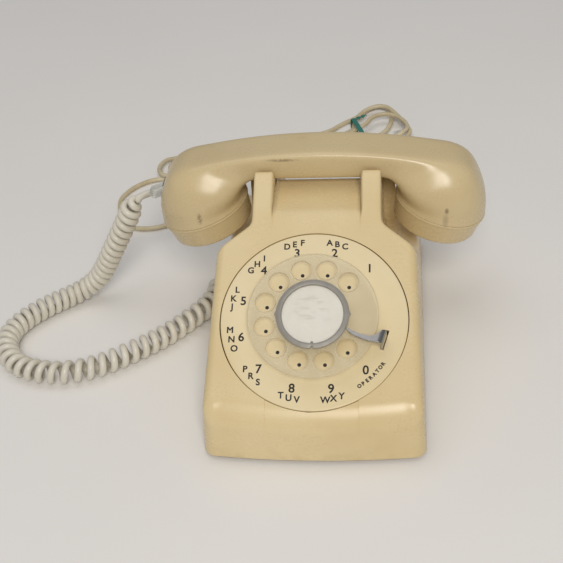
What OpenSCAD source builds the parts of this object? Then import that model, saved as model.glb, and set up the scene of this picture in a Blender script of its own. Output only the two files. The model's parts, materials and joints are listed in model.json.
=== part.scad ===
// Desk telephone with a rotary dial: a moulded housing on a steel base plate, a lift-off
// handset lying in a cradle, and a curly handset cord. +X is the user's right, +Y is away
// from the user and +Z is up. The origin is the middle of the foot, on the table.

/* [Housing] */
// Width of the housing at its foot
body_w = 132; // [118:1:165]
// Depth of the housing at its foot
body_d = 220; // [190:1:270]
// Gap between the table and the housing, which the feet make
foot_h = 3; // [2:0.5:5]
// Lean of the outer walls, in degrees
draft = 3.5; // [1:0.5:5]
// Radius of the upright corners
corner_r = 7; // [4:0.5:12]
// How far the front bows out between its corners
front_bow = 4; // [1:0.5:8]
// Thickness of the moulded wall
wall = 2.5; // [1.8:0.1:3.2]
// Radius of the roll from the front wall to the dial face
roll_r = 18; // [10:1:22]
// Height of the low shelf behind the shoulders, at its front end
shelf_z = 60; // [54:1:62]
// Height of the low shelf at the back wall
back_z = 51; // [46:1:56]

/* [Dial] */
// Tilt of the dial face from level, in degrees
dial_tilt = 29.5; // [25:0.5:33]
// Distance of the dial's centre behind the front of the foot
dial_back = 57; // [54:1:62]
// Height of the dial's centre over the table
dial_z = 63; // [60:1:70]
// Radius of the number ring
ring_r = 56; // [50:0.5:57]
// Gap round the number ring
ring_gap = 0.8; // [0.5:0.1:1.5]
// Thickness of the number ring
ring_t = 2; // [1.5:0.1:3]
// Radius of the finger wheel
wheel_r = 38.8; // [37:0.2:40]
// Thickness of the finger wheel
wheel_t = 3; // [2.4:0.1:4]
// Gap between the number ring and the finger wheel
wheel_gap = 6.6; // [5:0.1:8]
// Radius of a finger hole
finger_r = 6.35; // [5.5:0.05:6.6]
// Radius of the circle of finger holes
finger_pitch_r = 29.2; // [28.6:0.1:30]
// Angle of the first finger hole from the right, in degrees
first_hole = 44.5; // [40:0.5:50]
// Radius of the number card
card_r = 18.2; // [15:0.1:19]
// Outer radius of the ring that holds the card
retainer_r = 21.6; // [20.5:0.1:22]
// Radius of the dial's shaft
shaft_r = 3; // [2.5:0.1:4]
// Teeth on the main gear
main_teeth = 60; // [50:1:70]
// Teeth on the pinion
pinion_teeth = 12; // [10:1:16]
// Tooth size of the dial's gears
gear_module = 0.72; // [0.6:0.02:0.8]

/* [Cradle] */
// Width over the cradle's outer walls
cradle_w = 81; // [76:1:88]
// Width over the cradle's rear prongs
rear_w = 98; // [90:1:100]
// Width of each ear
ear_w = 13.5; // [12:0.5:18]
// Height of the ears' tips
ear_z = 113; // [110:0.5:116]
// Height of the seat that the handle rests on
seat_z = 102.7; // [100:0.1:106]
// Distance of the handle's middle behind the front of the foot
cradle_back = 159; // [155:1:170]
// Width of the seat, front to back
seat_w = 32; // [30:0.5:36]
// Height of the shelf between the ears
bridge_z = 97; // [94:0.5:99]
// Radius of a hook plunger
plunger_r = 2.4; // [2:0.1:3]

/* [Handset] */
// Clear height of the handle over its seat
rest_gap = 0.4; // [0.3:0.1:1]
// Height of the handle at its middle
handle_h = 20.9; // [18:0.1:24]
// Width of the handle's top
handle_top_w = 31; // [28:0.5:31]
// Width of the handle's underside
handle_low_w = 25; // [22:0.5:27]
// Radius of the ear and mouth caps
cap_r = 30; // [28:0.5:31]
// Height of a cap's skirt
cap_h = 16; // [13:0.5:18]
// Inward tilt of the caps, in degrees
cap_tilt = 16; // [12:1:20]
// Distance of a cap's middle from the handset's middle
cap_x = 77.6; // [75:0.2:80]
// How far the cap's seam lies under the seat
cap_drop = 23.7; // [22:0.1:26]
// Thickness of a cap's pierced face
cap_face_t = 2.2; // [1.6:0.1:3]
// Radius of a sound hole
sound_r = 1.1; // [0.8:0.1:1.4]

/* [Cords] */
// Outer diameter of the curly cord's coil
coil_d = 15.6; // [13:0.2:18]
// Diameter of the curly cord's wire
wire_d = 4.8; // [4:0.1:5.4]
// Diameter of the line cord
line_d = 3.6; // [3:0.1:4.2]
// Length of the tied hank of line cord
hank_len = 215; // [190:5:240]
// Width of the hank at its left end
hank_w = 50; // [40:2:60]
// Width of the hank's fanned end
fan_w = 66; // [56:2:80]
// Height of the hank
hank_h = 10; // [8:1:14]

/* [Hidden] */
$fn = 48;
fit = 0.05;      // radial clearance of a running fit
slack = 0.3;     // clearance between parts that only pass each other
deep = 400;      // longer than any cut needs to be

front_y = -body_d / 2;
back_y = body_d / 2;
dial_y = front_y + dial_back;
cradle_y = front_y + cradle_back;
plate_t = 1.5;
plate_z = foot_h + 0.5;
floor_z = plate_z + plate_t;

// ---- helpers ----
function unit(v) = v / norm(v);
function fillet(p, k, q, r, n) =
  let (a = unit(p - k), b = unit(q - k), h = acos(a * b) / 2, c = k + unit(a + b) * r / sin(h),
       s = k + a * r / tan(h) - c, e = k + b * r / tan(h) - c,
       a0 = atan2(s[1], s[0]), a1 = atan2(e[1], e[0]), turn = (a1 - a0 + 540) % 360 - 180)
  [for (i = [0:n]) c + r * [cos(a0 + turn * i / n), sin(a0 + turn * i / n)]];
// An outline with each corner rounded by its own radius; a corner is [x, y, radius].
function rounded(c, n = 6) = [for (i = [0:len(c) - 1])
  let (m = len(c), p = c[(i + m - 1) % m], k = c[i], q = c[(i + 1) % m])
  each (k[2] > 0 ? fillet([p[0], p[1]], [k[0], k[1]], [q[0], q[1]], k[2], n) : [[k[0], k[1]]])];
function face_z(y) = dial_z + (y - dial_y) * tan(dial_tilt);
function half_w(z) = body_w / 2 - (z - foot_h) * tan(draft);
// A point on the dial face, v along its slope and h over it, as [y, z].
function face_point(v, h = 0) = [dial_y + v * cos(dial_tilt) - h * sin(dial_tilt),
  dial_z + v * sin(dial_tilt) + h * cos(dial_tilt)];

module slab_x(x0, x1) translate([x0, 0, 0]) rotate([90, 0, 90]) linear_extrude(x1 - x0) children();
module at_dial(h = 0) translate([0, dial_y, dial_z]) rotate([dial_tilt, 0, 0])
  translate([0, 0, h]) children();
module sides() { children(); mirror([1, 0, 0]) children(); }
module box(x, y, z) translate([x[0], y[0], z[0]]) cube([x[1] - x[0], y[1] - y[0], z[1] - z[0]]);
module tube(r_out, r_in, h) rotate_extrude() translate([r_in, 0]) square([r_out - r_in, h]);
module rod_x(r, x0, x1) translate([x0, 0, 0]) rotate([0, 90, 0]) cylinder(r = r, h = x1 - x0);

// ---- housing forms; i is how far the surface lies inside the outer one ----
roll_z = (dial_z + (front_y - foot_h * tan(draft) - dial_y) * tan(dial_tilt))
  / (1 - tan(draft) * tan(dial_tilt));
roll_corner = [front_y + (roll_z - foot_h) * tan(draft), roll_z];
shelf_y = dial_y + (shelf_z - dial_z) / tan(dial_tilt);
back_roll_r = 16;
low_outline = rounded([[front_y, foot_h, 0], [roll_corner[0], roll_corner[1], roll_r],
  [shelf_y, shelf_z, 0], [back_y - 3, back_z, back_roll_r], [back_y, foot_h, 0]], 8);
apex = face_point(68);
wedge_outline = [[shelf_y, shelf_z - 12], [shelf_y, shelf_z], apex, [cradle_y + 1, shelf_z],
  [cradle_y + 1, shelf_z - 12]];
// The ears start a hair under the dial face, and come out of it 59 mm up its slope.
crease = face_point(57.4, -0.12);
ear_slope = 33.7;
ear_corner_y = crease[0] + (ear_z - crease[1]) / tan(ear_slope);
seat_front = cradle_y - seat_w / 2;
seat_back = cradle_y + seat_w / 2;
tower_low = shelf_z - 20;
ear_outline = rounded([[crease[0], tower_low, 0], [crease[0], crease[1], 0],
  [ear_corner_y, ear_z, 4], [seat_front, ear_z, 1.4], [seat_front, seat_z, 2],
  [seat_back, seat_z, 2], [seat_back, ear_z, 1.4], [seat_back + 4, ear_z, 2.5],
  [cradle_y + 47, back_z, 0], [cradle_y + 47, tower_low, 0]], 5);
// The shelf's front lies a hair under the dial face, so that the two never coincide.
bridge_sink = 0.06;
bridge_front = crease[0] - 20;
bridge_y = dial_y + (bridge_z + bridge_sink - dial_z) / tan(dial_tilt);
bridge_back = cradle_y - 4;
bridge_outline = rounded([[bridge_front, tower_low, 0],
  [bridge_front, face_z(bridge_front) - bridge_sink, 0], [bridge_y, bridge_z, 0],
  [bridge_back, bridge_z, 4], [bridge_back, tower_low, 0]], 5);
ear_in = cradle_w / 2 - ear_w;

function plan_outline(i) =
  let (w = body_w / 2 - i, f = front_y + i, b = back_y - i, r = max(corner_r - i, 1))
  rounded(concat([[w, b, r], [-w, b, r], [-w, f + front_bow, r]],
    [for (k = [-3:3]) [w * k / 4, f + front_bow * pow(k / 4, 2), 0]], [[w, f + front_bow, r]]), 6);
prism_h = 100;
module prism(i) translate([0, 0, foot_h])
  linear_extrude(prism_h, slices = 1, scale = [1 - 2 * prism_h * tan(draft) / body_w,
    1 - 2 * prism_h * tan(draft) / body_d]) polygon(plan_outline(i));
// The shoulders fall away beside the cradle, along a plane through these three points.
shoulder_a = [cradle_w / 2, face_point(63)[0], face_point(63)[1]];
shoulder_b = [half_w(face_point(46)[1]), face_point(46)[0], face_point(46)[1]];
shoulder_c = [half_w(shelf_z), cradle_y - 30, shelf_z];
shoulder_n = unit(cross(shoulder_b - shoulder_a, shoulder_c - shoulder_a));
module shoulder_cut(i) sides() translate(shoulder_a - i * shoulder_n)
  rotate([0, acos(shoulder_n[2]), atan2(shoulder_n[1], shoulder_n[0])])
  translate([-deep / 2, -deep / 2, 0]) cube([deep, deep, deep / 2]);
module body_form(i) {
  intersection() {
    slab_x(-body_w, body_w) offset(delta = -i) polygon(low_outline);
    prism(i);
  }
  difference() {
    intersection() {
      slab_x(-body_w, body_w) offset(delta = -i) polygon(wedge_outline);
      prism(i);
    }
    shoulder_cut(i);
  }
}
rear_outline = rounded([[seat_back, tower_low, 0], [seat_back, ear_z, 1.4],
  [seat_back + 4, ear_z, 2.5], [cradle_y + 47, back_z, 0], [cradle_y + 47, tower_low, 0]], 5);
module tower_form(i) {
  sides() {
    slab_x(ear_in + i, cradle_w / 2 - i) offset(delta = -i) polygon(ear_outline);
    slab_x(ear_in + i, rear_w / 2 - i) offset(delta = -i) polygon(rear_outline);
  }
  slab_x(-cradle_w / 2 + i, cradle_w / 2 - i) offset(delta = -i) polygon(bridge_outline);
}

boss_r = 4;
screw_r = 1.6;
// Each screw boss, as its x and y and the height of its top.
bosses = concat([for (sx = [-1, 1]) [sx * 38, front_y + 13, face_z(front_y + 13 - boss_r) - 1]],
  [[0, back_y - 16, back_z - 1.6]]);
plunger_x = cradle_w / 2 - ear_w / 2;
jack_y = cradle_y + 23;
jack_z = 12;
jack_w = 12;
jack_h = 10;
line_x = 20;

module housing() color("#e0cda0") {
  difference() {
    union() {
      body_form(0);
      tower_form(0);
    }
    body_form(wall);
    tower_form(wall);
    translate([0, 0, foot_h - 1]) linear_extrude(wall + 4) polygon(plan_outline(wall + slack));
    at_dial(-9) cylinder(r = ring_r + ring_gap, h = 14, $fn = 96);
    sides() translate([plunger_x, cradle_y, seat_z - 8]) cylinder(r = plunger_r + slack, h = 20);
    box([-body_w, -body_w / 2 + 8], [jack_y - jack_w / 2 - slack, jack_y + jack_w / 2 + slack],
      [jack_z - jack_h / 2 - slack, jack_z + jack_h / 2 + slack]);
    box([line_x - jack_w / 2 - slack, line_x + jack_w / 2 + slack], [back_y - 8, back_y + 9],
      [jack_z - jack_h / 2 - slack, jack_z + jack_h / 2 + slack]);
  }
  for (b = bosses) translate([b[0], b[1], floor_z + 0.2]) difference() {
    cylinder(r = boss_r, h = b[2] - floor_z - 0.2);
    translate([0, 0, -1]) cylinder(r = screw_r, h = 14);
  }
}

// ---- base ----
foot_r = 7;
foot_pos = [for (sx = [-1, 1], y = [front_y + front_bow + 18, back_y - 18])
  [sx * (body_w / 2 - 16), y]];
loud_r = 12;
loud_t = 3;
loud_x = 47;
loud_y = cradle_y - 27;
loud_z = loud_r + 0.6;
module base_plate() color("#6b6d6f") translate([0, 0, plate_z]) difference() {
  linear_extrude(plate_t) polygon(plan_outline(wall + 2 * slack));
  for (p = foot_pos) translate([p[0], p[1], -1]) cylinder(r = 2.1, h = 4);
  for (b = bosses) translate([b[0], b[1], -1]) cylinder(r = screw_r + slack, h = 4);
  box([loud_x - 1, loud_x + loud_t + 1], [loud_y - loud_r, loud_y + loud_r], [-1, plate_t + 1]);
}
module rubber_feet() color("#2a2826") for (p = foot_pos) translate([p[0], p[1], 0]) {
  difference() {
    union() {
      cylinder(r1 = foot_r - 0.6, r2 = foot_r, h = plate_z);
      cylinder(r = 2, h = floor_z + 0.5);
    }
    translate([0, 0, -1]) cylinder(r = 1.2, h = 2);
  }
  translate([0, 0, floor_z]) tube(3.2, 2, 1);
}
module housing_screws() color("#b9babd") for (b = bosses) translate([b[0], b[1], 0]) {
  translate([0, 0, plate_z - 1.6]) difference() {
    cylinder(r = 3.2, h = 1.6);
    box([-4, 4], [-0.4, 0.4], [-1, 0.7]);
  }
  translate([0, 0, plate_z]) cylinder(r = screw_r - 0.05, h = 10);
}

// ---- dial: heights are over the dial face, along its normal ----
frame_r = 47;
frame_h = [-14, -11.5];
post_r = 2.5;
post_at = 44;
boss_top = -3;
gear_h = [-19.5, -17.5];
cam_h = [-24.5, -22.5];
worm_h = [-29, -26.5];
main_r = main_teeth * gear_module / 2;
pinion_r = pinion_teeth * gear_module / 2;
pinion_v = -(main_r + pinion_r);
worm_wheel_r = 10;
worm_r = 2.6;
worm_v = pinion_v - worm_wheel_r - worm_r - 0.7;
worm_mid = (worm_h[0] + worm_h[1]) / 2;
small_r = 1.5;
bearing_x = [-19, 27];

module gear(teeth, m, h) {
  tip = m * 0.55;
  linear_extrude(h) polygon([for (t = [0:teeth - 1], s = [[-0.5, -1], [-0.2, 1], [0.2, 1], [0.5, -1]])
    let (r = teeth * m / 2 + s[1] * tip - 0.1, a = 360 * (t + s[0] * 0.62) / teeth)
    r * [cos(a), sin(a)]]);
}
module number_ring() color("#e8dab4") at_dial() {
  difference() {
    translate([0, 0, -ring_t]) cylinder(r = ring_r, h = ring_t, $fn = 96);
    translate([0, 0, -ring_t - 1]) cylinder(r = 12.5, h = ring_t + 2);
    stop_slot(slack);
  }
  translate([0, 0, -8]) tube(ring_r, ring_r - 2, 8 - ring_t);
}
// The stop is a blade over the wheel, bent down outside the wheel into a slot in the ring.
stop_angle = -17;
stop_in = wheel_r + 1.2;
stop_out = stop_in + 4.6;
stop_w = 12;
stop_t = 1.4;
stop_h = wheel_gap + wheel_t + 1.5;
module stop_slot(c) rotate(stop_angle) box([stop_out - stop_t - c, stop_out + c],
  [-stop_w / 2 - c, stop_w / 2 + c], [-9, 1]);
module finger_stop() color("#b4b6ba") at_dial() rotate(stop_angle) difference() {
  union() {
    translate([0, 0, stop_h]) linear_extrude(stop_t) polygon(rounded([[stop_out, stop_w / 2, 1],
      [stop_in + 1, stop_w / 2, 3], [stop_in - 6, -0.5, 4], [retainer_r + 0.4, 0.6, 1.2],
      [retainer_r + 0.4, -3, 1.2], [stop_in - 7, -5.5, 6], [stop_in, -stop_w / 2, 3],
      [stop_out, -stop_w / 2, 1]], 4));
    box([stop_out - stop_t, stop_out], [-stop_w / 2, stop_w / 2], [frame_h[1], stop_h + 0.5]);
    box([stop_out - 8, stop_out], [-stop_w / 2, stop_w / 2], [frame_h[1], frame_h[1] + stop_t]);
  }
  translate([stop_out - 5, 0, frame_h[1] - 1]) cylinder(r = 1.4, h = 4);
}
module dial_frame() color("#9a9b9c") at_dial() {
  difference() {
    translate([0, 0, frame_h[0]]) cylinder(r = frame_r, h = frame_h[1] - frame_h[0]);
    translate([0, 0, frame_h[0] - 1]) cylinder(r = shaft_r + fit, h = 6);
    translate([0, pinion_v, frame_h[0] - 1]) cylinder(r = small_r + fit, h = 6);
    for (a = [0:60:300]) rotate(a) translate([26, 0, frame_h[0] - 1])
      if (a != 300 && a != 240) cylinder(r = 6, h = 6);
  }
  translate([0, 0, frame_h[0]]) tube(5.4, shaft_r + fit, boss_top - frame_h[0]);
  for (a = [60, 180, 300]) rotate(a) translate([post_at, 0, frame_h[0]])
    cylinder(r = post_r, h = -ring_t - frame_h[0]);
}
bracket_x = 36;
module dial_brackets() color("#8c8e90") sides() slab_x(bracket_x, bracket_x + plate_t) {
  low = face_point(-20, frame_h[0] - 0.05);
  high = face_point(20, frame_h[0] - 0.05);
  polygon([[low[0], floor_z], low, high, [high[0], floor_z]]);
}
module governor_bracket() color("#8c8e90") at_dial() for (x = bearing_x) difference() {
  box([x, x + 1.5], [worm_v - 4, worm_v + 4], [worm_h[0] - 3, frame_h[0]]);
  translate([x - 1, worm_v, worm_mid]) rod_x(small_r + fit, 0, 4);
}
cup_r = 10;
cup_x = [14, 25.5];
module governor_cup() color("#a9802f") at_dial() translate([0, worm_v, worm_mid]) {
  difference() {
    rod_x(cup_r, cup_x[0], cup_x[1]);
    rod_x(cup_r - 1, cup_x[0] - 1, cup_x[1] - 1);
    rod_x(small_r + slack, cup_x[1] - 2, cup_x[1] + 1);
  }
  difference() {
    rod_x(3.2, cup_x[1], bearing_x[1]);
    rod_x(small_r + slack, cup_x[1] - 1, bearing_x[1] + 1);
  }
}
module return_spring() color("#777a80") at_dial(frame_h[1] + 0.3) {
  for (k = [0:3]) tube(6.6 + k * 1.1, 6.1 + k * 1.1, 5);
  box([6.2, 10], [-0.3, 0.3], [1, 4]);
}
module pulse_contacts() color("#c9a24a") at_dial() {
  translate([11.5, pinion_v - 3, cam_h[0] - 1]) cube([8, 8, frame_h[0] - cam_h[0] + 1]);
  for (z = [0, 1.2]) translate([9.6, pinion_v + 5 - z, cam_h[0] + z]) cube([0.8, 16, 0.8]);
  translate([9.6, pinion_v + 4, cam_h[0] - 0.2]) cube([2.6, 1, 2.6]);
}
module fingerwheel() color("#e6dcc0", 0.6) at_dial(wheel_gap) difference() {
  union() {
    difference() {
      cylinder(r = wheel_r, h = wheel_t, $fn = 96);
      translate([0, 0, wheel_t - 0.8]) cylinder(r = card_r + 1, h = 2);
    }
    translate([0, 0, -4]) cylinder(r = 10.5, h = 5);
  }
  translate([0, 0, -5]) cylinder(r = shaft_r, h = 20);
  for (k = [0:9]) rotate(first_hole + 30 * k) translate([finger_pitch_r, 0, -1])
    cylinder(r = finger_r, h = wheel_t + 2);
}
cover_t = 0.8;
card_t = 0.3;
card_h = wheel_gap + wheel_t - 0.8;
module card_retainer() color("#9d9c98") at_dial(wheel_gap + wheel_t) tube(retainer_r, card_r + 0.4, 1);
module number_card() color("#eceae2") at_dial(card_h + 0.1)
  tube(card_r, shaft_r + 0.5, card_t);
module card_cover() color("#f4f4f0", 0.4) at_dial(card_h + 0.1 + card_t) difference() {
  cylinder(r = card_r + 0.2, h = cover_t + 0.5, $fn = 96);
  translate([0, 0, -1]) cylinder(r = shaft_r + 0.5, h = 1.5);
}
module main_shaft() color("#c5c6c8") at_dial() {
  translate([0, 0, gear_h[0] - 6]) cylinder(r = shaft_r, h = card_h - gear_h[0] + 6);
  translate([0, 0, gear_h[0] - 3]) tube(5, shaft_r, 3);
}
module main_gear() color("#b08d45") at_dial(gear_h[0]) difference() {
  rotate(-90 + 180 / main_teeth) gear(main_teeth, gear_module, gear_h[1] - gear_h[0]);
  translate([0, 0, -1]) cylinder(r = shaft_r, h = 5);
  for (a = [0:72:288]) rotate(a) translate([12, 0, -1]) cylinder(r = 4, h = 5);
}
module pinion_shaft() color("#c5c6c8") at_dial() translate([0, pinion_v, 0]) {
  translate([0, 0, worm_h[0] - 1]) cylinder(r = small_r, h = frame_h[1] - worm_h[0] + 3);
  difference() {
    translate([0, 0, gear_h[0]]) rotate(90) gear(pinion_teeth, gear_module, gear_h[1] - gear_h[0]);
    translate([0, 0, gear_h[0] - 1]) cylinder(r = small_r, h = 5);
  }
}
module pulse_cam() color("#7d5a33") at_dial(cam_h[0]) translate([0, pinion_v, 0]) difference() {
  union() {
    cylinder(r = 6.4, h = cam_h[1] - cam_h[0]);
    for (a = [45:90:315]) rotate(a) translate([5.4, 0, 0]) cylinder(r = 2, h = cam_h[1] - cam_h[0]);
  }
  translate([0, 0, -1]) cylinder(r = small_r, h = 5);
}
module worm_wheel() color("#efe9d8") at_dial(worm_h[0]) translate([0, pinion_v, 0]) difference() {
  gear(24, worm_wheel_r / 12, worm_h[1] - worm_h[0]);
  translate([0, 0, -1]) cylinder(r = small_r, h = 5);
}
module governor_spindle() color("#c5c6c8") at_dial() translate([0, worm_v, worm_mid]) {
  rod_x(small_r, bearing_x[0] - 1, bearing_x[1] + 2.5);
  translate([-8, 0, 0]) rotate([0, 90, 0]) rotate_extrude() polygon(concat([[small_r, 0]],
    [for (k = [0:7]) each [[1.9, k * 2], [worm_r, k * 2 + 0.8], [worm_r, k * 2 + 1.2]]],
    [[1.9, 16], [small_r, 16]]));
  translate([16, 0, 0]) rotate([0, 90, 0]) tube(3.4, small_r, 2.4);
}
module governor_weights() color("#a9802f") at_dial() translate([0, worm_v, worm_mid])
  for (s = [-1, 1]) difference() {
    intersection() {
      rod_x(cup_r - 1.6, 16, 22);
      box([15, 23], s > 0 ? [3.6, 12] : [-12, -3.6], [-7, 7]);
    }
    rod_x(3.5, 10, 30);
  }

// ---- electrical parts ----
block_x = 31;
block_y = [dial_y + 4, dial_y + 50];
block_h = 22;
terminal_x = [-24, -12, 0, 12, 24];
module network_block() color("#3a3f3c") difference() {
  box([-block_x, block_x], block_y, [floor_z, floor_z + block_h]);
  for (x = terminal_x, y = [block_y[0] + 8, block_y[1] - 8]) translate([x, y, floor_z + block_h - 6])
    cylinder(r = 1.6, h = 8);
}
module terminal_screws() color("#c8b26a")
  for (x = terminal_x, y = [block_y[0] + 8, block_y[1] - 8]) translate([x, y, floor_z + block_h]) {
    translate([0, 0, -5.5]) cylinder(r = 1.55, h = 5.6);
    difference() {
      cylinder(r = 2.8, h = 1.6);
      box([-3, 3], [-0.4, 0.4], [1, 2]);
    }
  }
gong_x = 29;
gong_y = cradle_y + 27;
gong_r = 23;
gong_z = floor_z + 13;
gong_h = 16;
ringer_z = floor_z + 4;
module ringer_frame() color("#9b9d9f") {
  difference() {
    box([-45, 45], [cradle_y - 20, gong_y + 13], [ringer_z, ringer_z + 1.5]);
    translate([0, cradle_y + 12, ringer_z - 1]) cylinder(r = 1.5 + fit, h = 4);
    box([-20, 20], [gong_y - 8, gong_y + 10], [ringer_z - 1, ringer_z + 3]);
    box([-6, 6], [cradle_y - 21, cradle_y - 14], [ringer_z - 1, ringer_z + 3]);
  }
  for (sx = [-1, 1], y = [cradle_y - 19, gong_y + 8]) box([sx * 42 - 2.5, sx * 42 + 2.5], [y, y + 5],
    [floor_z, ringer_z]);
  for (sx = [-1, 1]) translate([sx * gong_x, gong_y, ringer_z + 1.5]) difference() {
    cylinder(r = 3.2, h = gong_z + gong_h - 1.4 - ringer_z - 1.5);
    translate([0, 0, gong_z + gong_h - ringer_z - 9]) cylinder(r = 1.5, h = 9);
  }
  for (x = [-19, 17.5]) difference() {
    box([x, x + 1.5], [cradle_y - 18, cradle_y + 4], [ringer_z + 1.5, ringer_z + 24]);
    translate([x - 1, cradle_y - 7, ringer_z + 13]) rod_x(4, 0, 4);
  }
}
module ringer_coil() color("#7a4a2a") translate([0, cradle_y - 7, ringer_z + 13]) {
  rod_x(4, -19, 19);
  difference() {
    rod_x(9, -15, 15);
    rod_x(4, -16, 16);
  }
  for (x = [-17.2, 15]) difference() {
    rod_x(10.5, x, x + 2.2);
    rod_x(4, x - 1, x + 4);
  }
}
module gong() difference() {
  rotate_extrude($fn = 64) difference() {
    polygon(rounded([[0, 0, 0], [gong_r, 0, 0], [gong_r - 0.6, 7, 6], [gong_r - 7, gong_h, 6],
      [0, gong_h, 0]], 5));
    polygon(rounded([[-1, -1, 0], [gong_r - 1.3, -1, 0], [gong_r - 1.9, 6.6, 5],
      [gong_r - 7.6, gong_h - 1.3, 5], [-1, gong_h - 1.3, 0]], 5));
  }
  translate([0, 0, gong_h - 4]) cylinder(r = 1.9, h = 8);
}
module gong_left() color("#b89a4a") translate([-gong_x, gong_y, gong_z]) gong();
module gong_right() color("#b89a4a") translate([gong_x, gong_y, gong_z]) gong();
module gong_screws() color("#c5c6c8") for (sx = [-1, 1]) translate([sx * gong_x, gong_y, 0]) {
  translate([0, 0, gong_z + gong_h - 7]) cylinder(r = 1.45, h = 8);
  translate([0, 0, gong_z + gong_h]) difference() {
    cylinder(r = 3.6, h = 1.8);
    box([-4, 4], [-0.4, 0.4], [1.2, 2]);
  }
}
clap_y = cradle_y + 12;
module clapper() color("#a8aaad") {
  translate([0, clap_y, ringer_z - 1.5]) cylinder(r = 1.5, h = 16);
  box([-1.2, 1.2], [clap_y - 4, clap_y + 11], [ringer_z + 8, ringer_z + 10]);
  box([-6, 6], [clap_y - 5, clap_y - 2], [ringer_z + 6, ringer_z + 14]);
  box([-1, 1], [clap_y + 9, gong_y], [ringer_z + 8, ringer_z + 10]);
  translate([0, gong_y, ringer_z + 9]) cylinder(r = 1, h = 9);
  translate([0, gong_y, ringer_z + 19]) sphere(r = 3);
}
module loudness_wheel() color("#5b5a55") translate([loud_x, loud_y, loud_z]) difference() {
  union() {
    rotate([90, 0, 90]) linear_extrude(loud_t) polygon([for (k = [0:71])
      (loud_r - (k % 2) * 0.5) * [cos(5 * k), sin(5 * k)]]);
    rod_x(4, -1.5, 0.5);
  }
  rod_x(small_r + fit, -3, 6);
}
module loudness_bracket() color("#9b9d9f") {
  box([loud_x - 3.3, loud_x - 1.8], [loud_y - 4, loud_y + 4], [floor_z, loud_z + 4]);
  translate([loud_x, loud_y, loud_z]) rod_x(small_r, -3, loud_t + 2);
}
// ---- hook switch ----
pivot_y = cradle_y - 35;
pivot_z = 46;
hook_t = 2;
module hook_bracket() color("#9b9d9f") {
  box([-22, 22], [pivot_y - 12, pivot_y + 5], [floor_z, floor_z + 1.5]);
  for (sx = [-1, 1]) difference() {
    box([sx * 21 - 1, sx * 21 + 1], [pivot_y - 12, pivot_y + 5], [floor_z + 1.5, pivot_z + 5]);
    translate([sx * 21 - 2, pivot_y, pivot_z]) rod_x(small_r, 0, 4);
  }
  box([-20, 20], [pivot_y - 12, pivot_y - 5.5], [pivot_z - 10, pivot_z - 8.5]);
}
module hook_pin() color("#c5c6c8") translate([0, pivot_y, pivot_z]) rod_x(small_r, -23, 23);
module hook_lever() color("#b3a23c") {
  translate([0, pivot_y, pivot_z]) difference() {
    union() {
      rod_x(3.2, -18, 18);
      box([-18, 18], [0, 12], [-1, 1]);
    }
    rod_x(small_r + fit, -20, 20);
  }
  box([-plunger_x - 3.5, plunger_x + 3.5], [pivot_y + 12, pivot_y + 17], [pivot_z - 1, pivot_z + 1]);
  for (sx = [-1, 1]) box([sx * plunger_x - 3.5, sx * plunger_x + 3.5], [pivot_y + 17, cradle_y + 3],
    [pivot_z - 1, pivot_z + 1]);
}
module hook_spring() color("#777a80") translate([0, pivot_y + 14.5, 0]) {
  low = floor_z + 7.5;
  for (k = [0:10]) translate([0, 0, low + k * 2.8]) tube(3.6, 2.9, 0.8);
  translate([0, 0, low]) tube(3.2, 3.0, pivot_z - 1 - slack - low);
  translate([0, 0, floor_z]) cylinder(r = 4, h = 7.5);
}
module hook_contacts() color("#6a4630") {
  box([-9, 9], [pivot_y - 11.5, pivot_y - 6], [pivot_z - 8.5, pivot_z + 4]);
  for (x = [-7, -2.5, 2, 6.5], k = [0, 1]) box([x - 1, x + 1], [pivot_y - 10.6 + 2.4 * k,
    pivot_y - 10.2 + 2.4 * k], [pivot_z + 4, pivot_z + 18 - 3 * k]);
}
module plunger() {
  low = pivot_z + 1.3;
  translate([0, cradle_y, low]) cylinder(r = plunger_r, h = seat_z + 0.1 - low);
  translate([0, cradle_y, low]) cylinder(r = plunger_r + 0.9, h = 2);
}
module plunger_left() color("#ecebe6") translate([-plunger_x, 0, 0]) plunger();
module plunger_right() color("#ecebe6") translate([plunger_x, 0, 0]) plunger();

// ---- handset: sections fan out from the handle's middle to the seam of each cap ----
under_z = seat_z + rest_gap;
top_z = under_z + handle_h;
seam = [cap_x, seat_z - cap_drop];
seam_dir = [cos(cap_tilt), -sin(cap_tilt)];
cap_dir = [-sin(cap_tilt), -cos(cap_tilt)];
shell_r = cap_r - 0.3;
// Outer and inner edges of the handset's side view, from the middle to the seam.
outer_edge = [[0, top_z], [25, top_z - 0.9], [50, top_z - 3.4], [72, top_z - 7], [87, top_z - 10.4],
  [96.5, top_z - 16.5], [102, top_z - 26], [105.4, top_z - 36.5], [106.4, top_z - 45.5],
  seam + shell_r * seam_dir];
inner_edge = [[0, under_z], [18, under_z], [36.5, under_z], [43, under_z - 0.5],
  [47, under_z - 3], [49.4, under_z - 6.6], [50.4, under_z - 9.2], [50.5, under_z - 11.6],
  [50, under_z - 13.8], seam - shell_r * seam_dir];
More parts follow.
